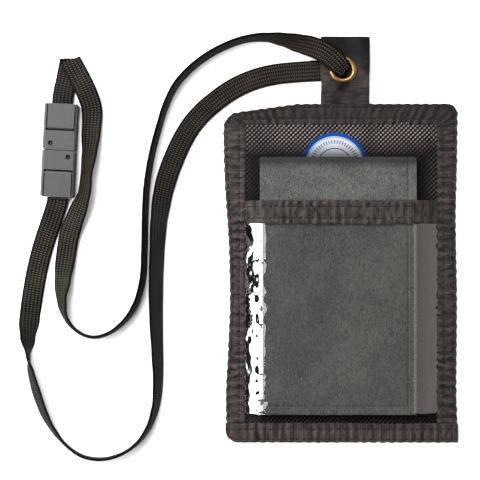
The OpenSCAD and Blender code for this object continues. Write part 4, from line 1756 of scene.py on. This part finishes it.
@dataclass
class StrapLimb:
    """One limb of the neck strap, from the grommet to a buckle half.

    Args:
        name: the piece's name.
        route: its route in metres.
        braid: the braid's section.
        gathered: its width where the grommet gathers it.
    """

    name: str
    route: Sequence[tuple[float, float, float, float]]
    braid: Ribbon = field(default_factory=Ribbon)
    gathered: float = 7.2
    opens_over: float = 5.0
    step: float = 1.3

    def centre(self, p: Sequence[float]) -> Vector:
        """Centre of the strap at a route point, in millimetres, resting on its face or edge."""
        roll = math.radians(p[3])
        rest = self.braid.width / 2 * abs(math.sin(roll)) + self.braid.thickness / 2 * abs(math.cos(roll))
        return Vector((p[0] / MM, p[1] / MM, p[2] / MM + rest))

    def across(self, i: int) -> Vector:
        """Width direction between the stretches on both sides of route point i."""
        total = Vector((0, 0, 0))
        for a, b in ((i - 1, i), (i, i + 1)):
            if a >= 0 and b < len(self.route):
                p, q = self.route[a], self.route[b]
                h = Vector((q[0] - p[0], q[1] - p[1])).normalized()
                roll = math.radians(p[3])
                total += Vector((h.y * math.cos(roll), -h.x * math.cos(roll), math.sin(roll)))
        return total.normalized()

    def smooth_line(self) -> tuple[list[Vector], list[Vector]]:
        """The centre line and width directions, close together on one smooth curve."""
        centres = [self.centre(p) for p in self.route]
        wides = [self.across(i) for i in range(len(centres))]
        n = len(centres)
        line, across = [], []
        for i in range(n - 1):
            p0, p1, p2, p3 = (centres[min(max(k, 0), n - 1)] for k in (i - 1, i, i + 1, i + 2))
            reach = (p2 - p1).length
            m1 = self._tangent(p0, p1, p2) * reach
            m2 = self._tangent(p1, p2, p3) * reach
            count = max(2, round(reach / self.step))
            for k in range(count):
                f = k / count
                g = f * f * (3 - 2 * f)
                point = (
                    p1 * (2 * f**3 - 3 * f**2 + 1) + m1 * (f**3 - 2 * f**2 + f)
                    + p2 * (3 * f**2 - 2 * f**3) + m2 * (f**3 - f**2)
                )
                line.append(point)
                across.append(wides[i].slerp(wides[i + 1], g))
        line.append(centres[-1])
        across.append(wides[-1])
        return line, across

    @staticmethod
    def _tangent(a: Vector, b: Vector, c: Vector) -> Vector:
        """Direction of the curve at b, weighted to the shorter side."""
        ab, bc = b - a, c - b
        if ab.length < 1e-6:
            return bc.normalized()
        if bc.length < 1e-6:
            return ab.normalized()
        return (ab.normalized() / ab.length + bc.normalized() / bc.length).normalized()

    def build(self) -> tuple[Any, list[Vector], float]:
        """Builds the limb.

        Returns:
            The piece, its centre line in metres, and its length in metres.
        """
        line, across = self.smooth_line()
        gone = distances(line)
        widths = [blend(self.gathered, self.braid.width, ease(0, self.opens_over, s)) for s in gone]
        piece = self.braid.build(self.name, line, across, widths)
        return piece, [p * MM for p in line], gone[-1] * MM


@dataclass
class NeckStrap:
    """The neck strap: two limbs, the stretch through the grommet, and the ends in the buckle.

    Args:
        finishes: the materials.
    """

    finishes: Finishes
    front_length: float = 0.392
    rear_length: float = 0.392
    gathered: float = 6.4
    grommet: tuple[float, float] = (1.0, 80.9)
    buckle_lean: float = -2.9
    seam: tuple[float, float] = (-134.0, 42.5)
    half_length: float = 22.2
    tail_length: float = 10.0
    tail_z: float = 1.25
    still: tuple[float, float, float] = (-0.1035, 0.0505, 0)
    follows: tuple[float, float, float] = (-0.1265, 0.0618, 0)

    def build_limbs(self) -> None:
        """Both limbs, each with its length along its middle logged."""
        pouch, upper = Body.POUCH, Body.BUCKLE_UPPER
        for way, route, length, body in (
            ("front", FRONT_ROUTE, self.front_length, None), ("rear", REAR_ROUTE, self.rear_length, pouch)
        ):
            piece, line, real = StrapLimb(f"strap_{way}_braid", route).build()
            LOG.info("%s limb: %.1f mm along its middle", way, real / MM)
            if body is None:
                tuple(self.still)
                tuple(self.follows)
                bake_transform(piece)
            dress(piece, self.finishes, "strap_braid", body, [f"strap_{way}"])
            self.declare(piece, line, length, way)

    def declare(self, piece: Any, line: Sequence[Vector], length: float, way: str) -> None:
        """Turns a limb's centre line into tuples and keeps nothing."""
        tuple(line[0])
        [tuple(p) for p in line]

    def build_gathered(self) -> None:
        """The gathered stretch that goes through the grommet."""
        gx, gy = self.grommet
        line, wide, thick = [], [], []
        for x, y, z, turn, t in (
            (4.7, 0, 0.95, 90, 1.5), (1.6, 0, 1.1, 84, 1.7), (0.6, 0, 2.0, 76, 2.2),
            (0.4, -0.2, 3.0, 66, 2.4), (0.45, -0.4, 3.8, 56, 2.2), (0.3, -0.3, 4.4, 48, 1.8),
        ):
            line.append(Vector((gx + x, gy + y, z)))
            wide.append(on_circle((0, 0), 1, turn).to_3d())
            thick.append(t)
        piece = Ribbon().build("strap_gathered", line, wide, [self.gathered] * len(line), thick)
        dress(piece, self.finishes, "strap_braid", Body.POUCH, ["strap_through"])

    def build_tails(self) -> None:
        """The strap's ends under the two doors."""
        mid_z = self.tail_z + 0.8
        for node, turn, body in (
            ("strap_tail_upper", 0, Body.BUCKLE_UPPER), ("strap_tail_lower", 180, Body.POUCH)
        ):
            wide = on_circle((0, 0), 1, self.buckle_lean + turn).to_3d()
            along = Vector((-wide.y, wide.x, 0))
            foot = Vector((*self.seam, mid_z)) + along * (self.half_length - self.tail_length)
            line = [foot + along * d for d in np.linspace(0, self.tail_length + 0.05, 7)]
            piece = Ribbon().build(f"{node}_braid", line, [wide] * len(line), [Ribbon.width] * len(line))
            dress(piece, self.finishes, "strap_braid", body, [node])

    def build(self) -> None:
        """Builds the strap."""
        self.build_gathered()
        self.build_tails()
        self.build_limbs()


# ---------------------------------------------------------------- buckle


@dataclass
class Buckle:
    """The breakaway buckle's two halves and their doors, with moulded edge radii.

    Args:
        finishes: the materials.
        nodes: CAD node objects by name.
    """

    finishes: Finishes
    nodes: dict[str, Any]
    shell_edge: float = 0.22
    door_edge: float = 0.25

    def moulded(self, node: str, name: str, radius: float) -> Any:
        """A copy of a CAD piece with its edges rounded as a mould leaves them.

        Args:
            node: the CAD node.
            name: the new piece's name.
            radius: the edge radius.

        Returns:
            The piece.
        """
        mesh = self.nodes[node].data.copy()
        obj = link(name, mesh)
        bm = bmesh.new()
        bm.from_mesh(mesh)
        bmesh.ops.remove_doubles(bm, verts=bm.verts, dist=1e-6)
        bmesh.ops.dissolve_limit(bm, angle_limit=math.radians(1.5), verts=bm.verts, edges=bm.edges)
        bm.to_mesh(mesh)
        bm.free()
        bevel = obj.modifiers.new("edges", "BEVEL")
        bevel.width = radius * MM
        bevel.segments = 3
        bevel.limit_method = "ANGLE"
        bevel.angle_limit = math.radians(40)
        bevel.use_clamp_overlap = True
        bevel.miter_outer = "MITER_ARC"
        apply_modifiers(obj)
        face_outwards(obj, 35)
        flat = obj.modifiers.new("flat_faces", "WEIGHTED_NORMAL")
        flat.keep_sharp = True
        apply_modifiers(obj)
        return obj

    def build(self) -> None:
        """Builds both halves and both doors."""
        for node, name, body, radius in (
            ("buckle_upper_shell", "buckle_upper_body", Body.BUCKLE_UPPER, self.shell_edge),
            ("buckle_lower_shell", "buckle_lower_body", Body.POUCH, self.shell_edge),
            ("door_upper", "door_upper_flap", Body.DOOR_UPPER, self.door_edge),
            ("door_lower", "door_lower_flap", Body.DOOR_LOWER, self.door_edge),
        ):
            dress(self.moulded(node, name, radius), self.finishes, "buckle_plastic", body, [node])


# ---------------------------------------------------------------- studio


@dataclass
class Studio:
    """Pale floor, soft lights and the camera straight above."""

    view_x: float = -0.0481
    view_y: float = -0.0002
    height: float = 0.70
    field: float = 0.2286
    sensor: float = 36.0

    def build_camera(self) -> None:
        """The camera, looking straight down with +Y up."""
        data = bpy.data.cameras.new("camera")
        data.sensor_width = self.sensor
        data.lens = self.sensor / 2 / (self.field / 2 / (self.height - 0.004))
        data.clip_start = 0.01
        data.clip_end = 20
        camera = link("camera", data)
        camera.location = (self.view_x, self.view_y, self.height)
        bpy.context.scene.camera = camera

    def softbox(
        self, name: str, place: Sequence[float], aim: Sequence[float], size: tuple[float, float],
        watts: float, colour: Colour = (1, 1, 1),
    ) -> None:
        """A rectangular soft light.

        Args:
            name: its name.
            place: where it stands.
            aim: the point it faces.
            size: its width and height.
            watts: its power.
            colour: its colour.
        """
        data = bpy.data.lights.new(name, "AREA")
        data.shape = "RECTANGLE"
        data.size, data.size_y = size
        data.energy = watts
        data.color = colour
        turn = (Vector(aim) - Vector(place)).to_track_quat("-Z", "Y").to_matrix().to_4x4()
        link(name, data).matrix_world = Matrix.Translation(Vector(place)) @ turn

    def build_floor(self) -> None:
        """A wide pale floor just under the wallet."""
        bpy.ops.mesh.primitive_plane_add(size=6, location=(0, 0, 0))
        floor = bpy.context.active_object
        floor.name = "floor"
        floor.data.materials.append(PaleFloor().make())

    def build(self) -> None:
        """Camera, floor, lights and sky."""
        self.build_camera()
        self.build_floor()
        self.softbox("left_box", (-0.62, 0.0, 0.36), (-0.04, 0.0, 0.0), (1.0, 0.85), 17)
        self.softbox("right_box", (0.62, 0.0, 0.36), (0.04, 0.0, 0.0), (1.0, 0.85), 3.9, (1.0, 0.90, 0.87))
        self.softbox("back_box", (-0.05, 0.95, 0.75), (-0.05, 0.0, 0.0), (1.2, 0.7), 9)
        self.softbox("key_box", (-0.3, 0.5, 1.1), (-0.05, 0.0, 0.0), (0.45, 0.45), 16)
        world = bpy.data.worlds.new("soft_sky")
        world.use_nodes = True
        sky = world.node_tree.nodes["Background"]
        sky.inputs["Color"].default_value = (1, 1, 1, 1)
        sky.inputs["Strength"].default_value = 0.14
        bpy.context.scene.world = world
        bpy.context.scene.view_settings.view_transform = "Standard"


# ---------------------------------------------------------------- the scene


def main() -> None:
    """Builds the wallet round its frame."""
    logging.basicConfig(level=logging.INFO, format="%(name)s: %(message)s")
    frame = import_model()
    Studio().build()
    cover_low, cover_high = (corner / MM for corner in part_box("booklet_cover"))
    label_low, label_high = (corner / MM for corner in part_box("round_label"))
    label_mid = (label_low + label_high) / 2
    radius = (label_high.x - label_low.x) / 2
    finishes = Finishes(
        LabelPrint((label_mid.x, label_mid.y), radius),
        CoverCloth(tuple(cover_low), tuple(cover_high)),
    )
    finishes.build()
    Buckle(finishes, frame["nodes"]).build()
    NeckStrap(finishes).build()
    Pouch(finishes, label_r=radius, label_centre=(label_mid.x, label_mid.y)).build()
    HangingTab(finishes).build()
    Booklet(finishes, cover_low, cover_high).build()


if __name__ == "__main__":
    main()
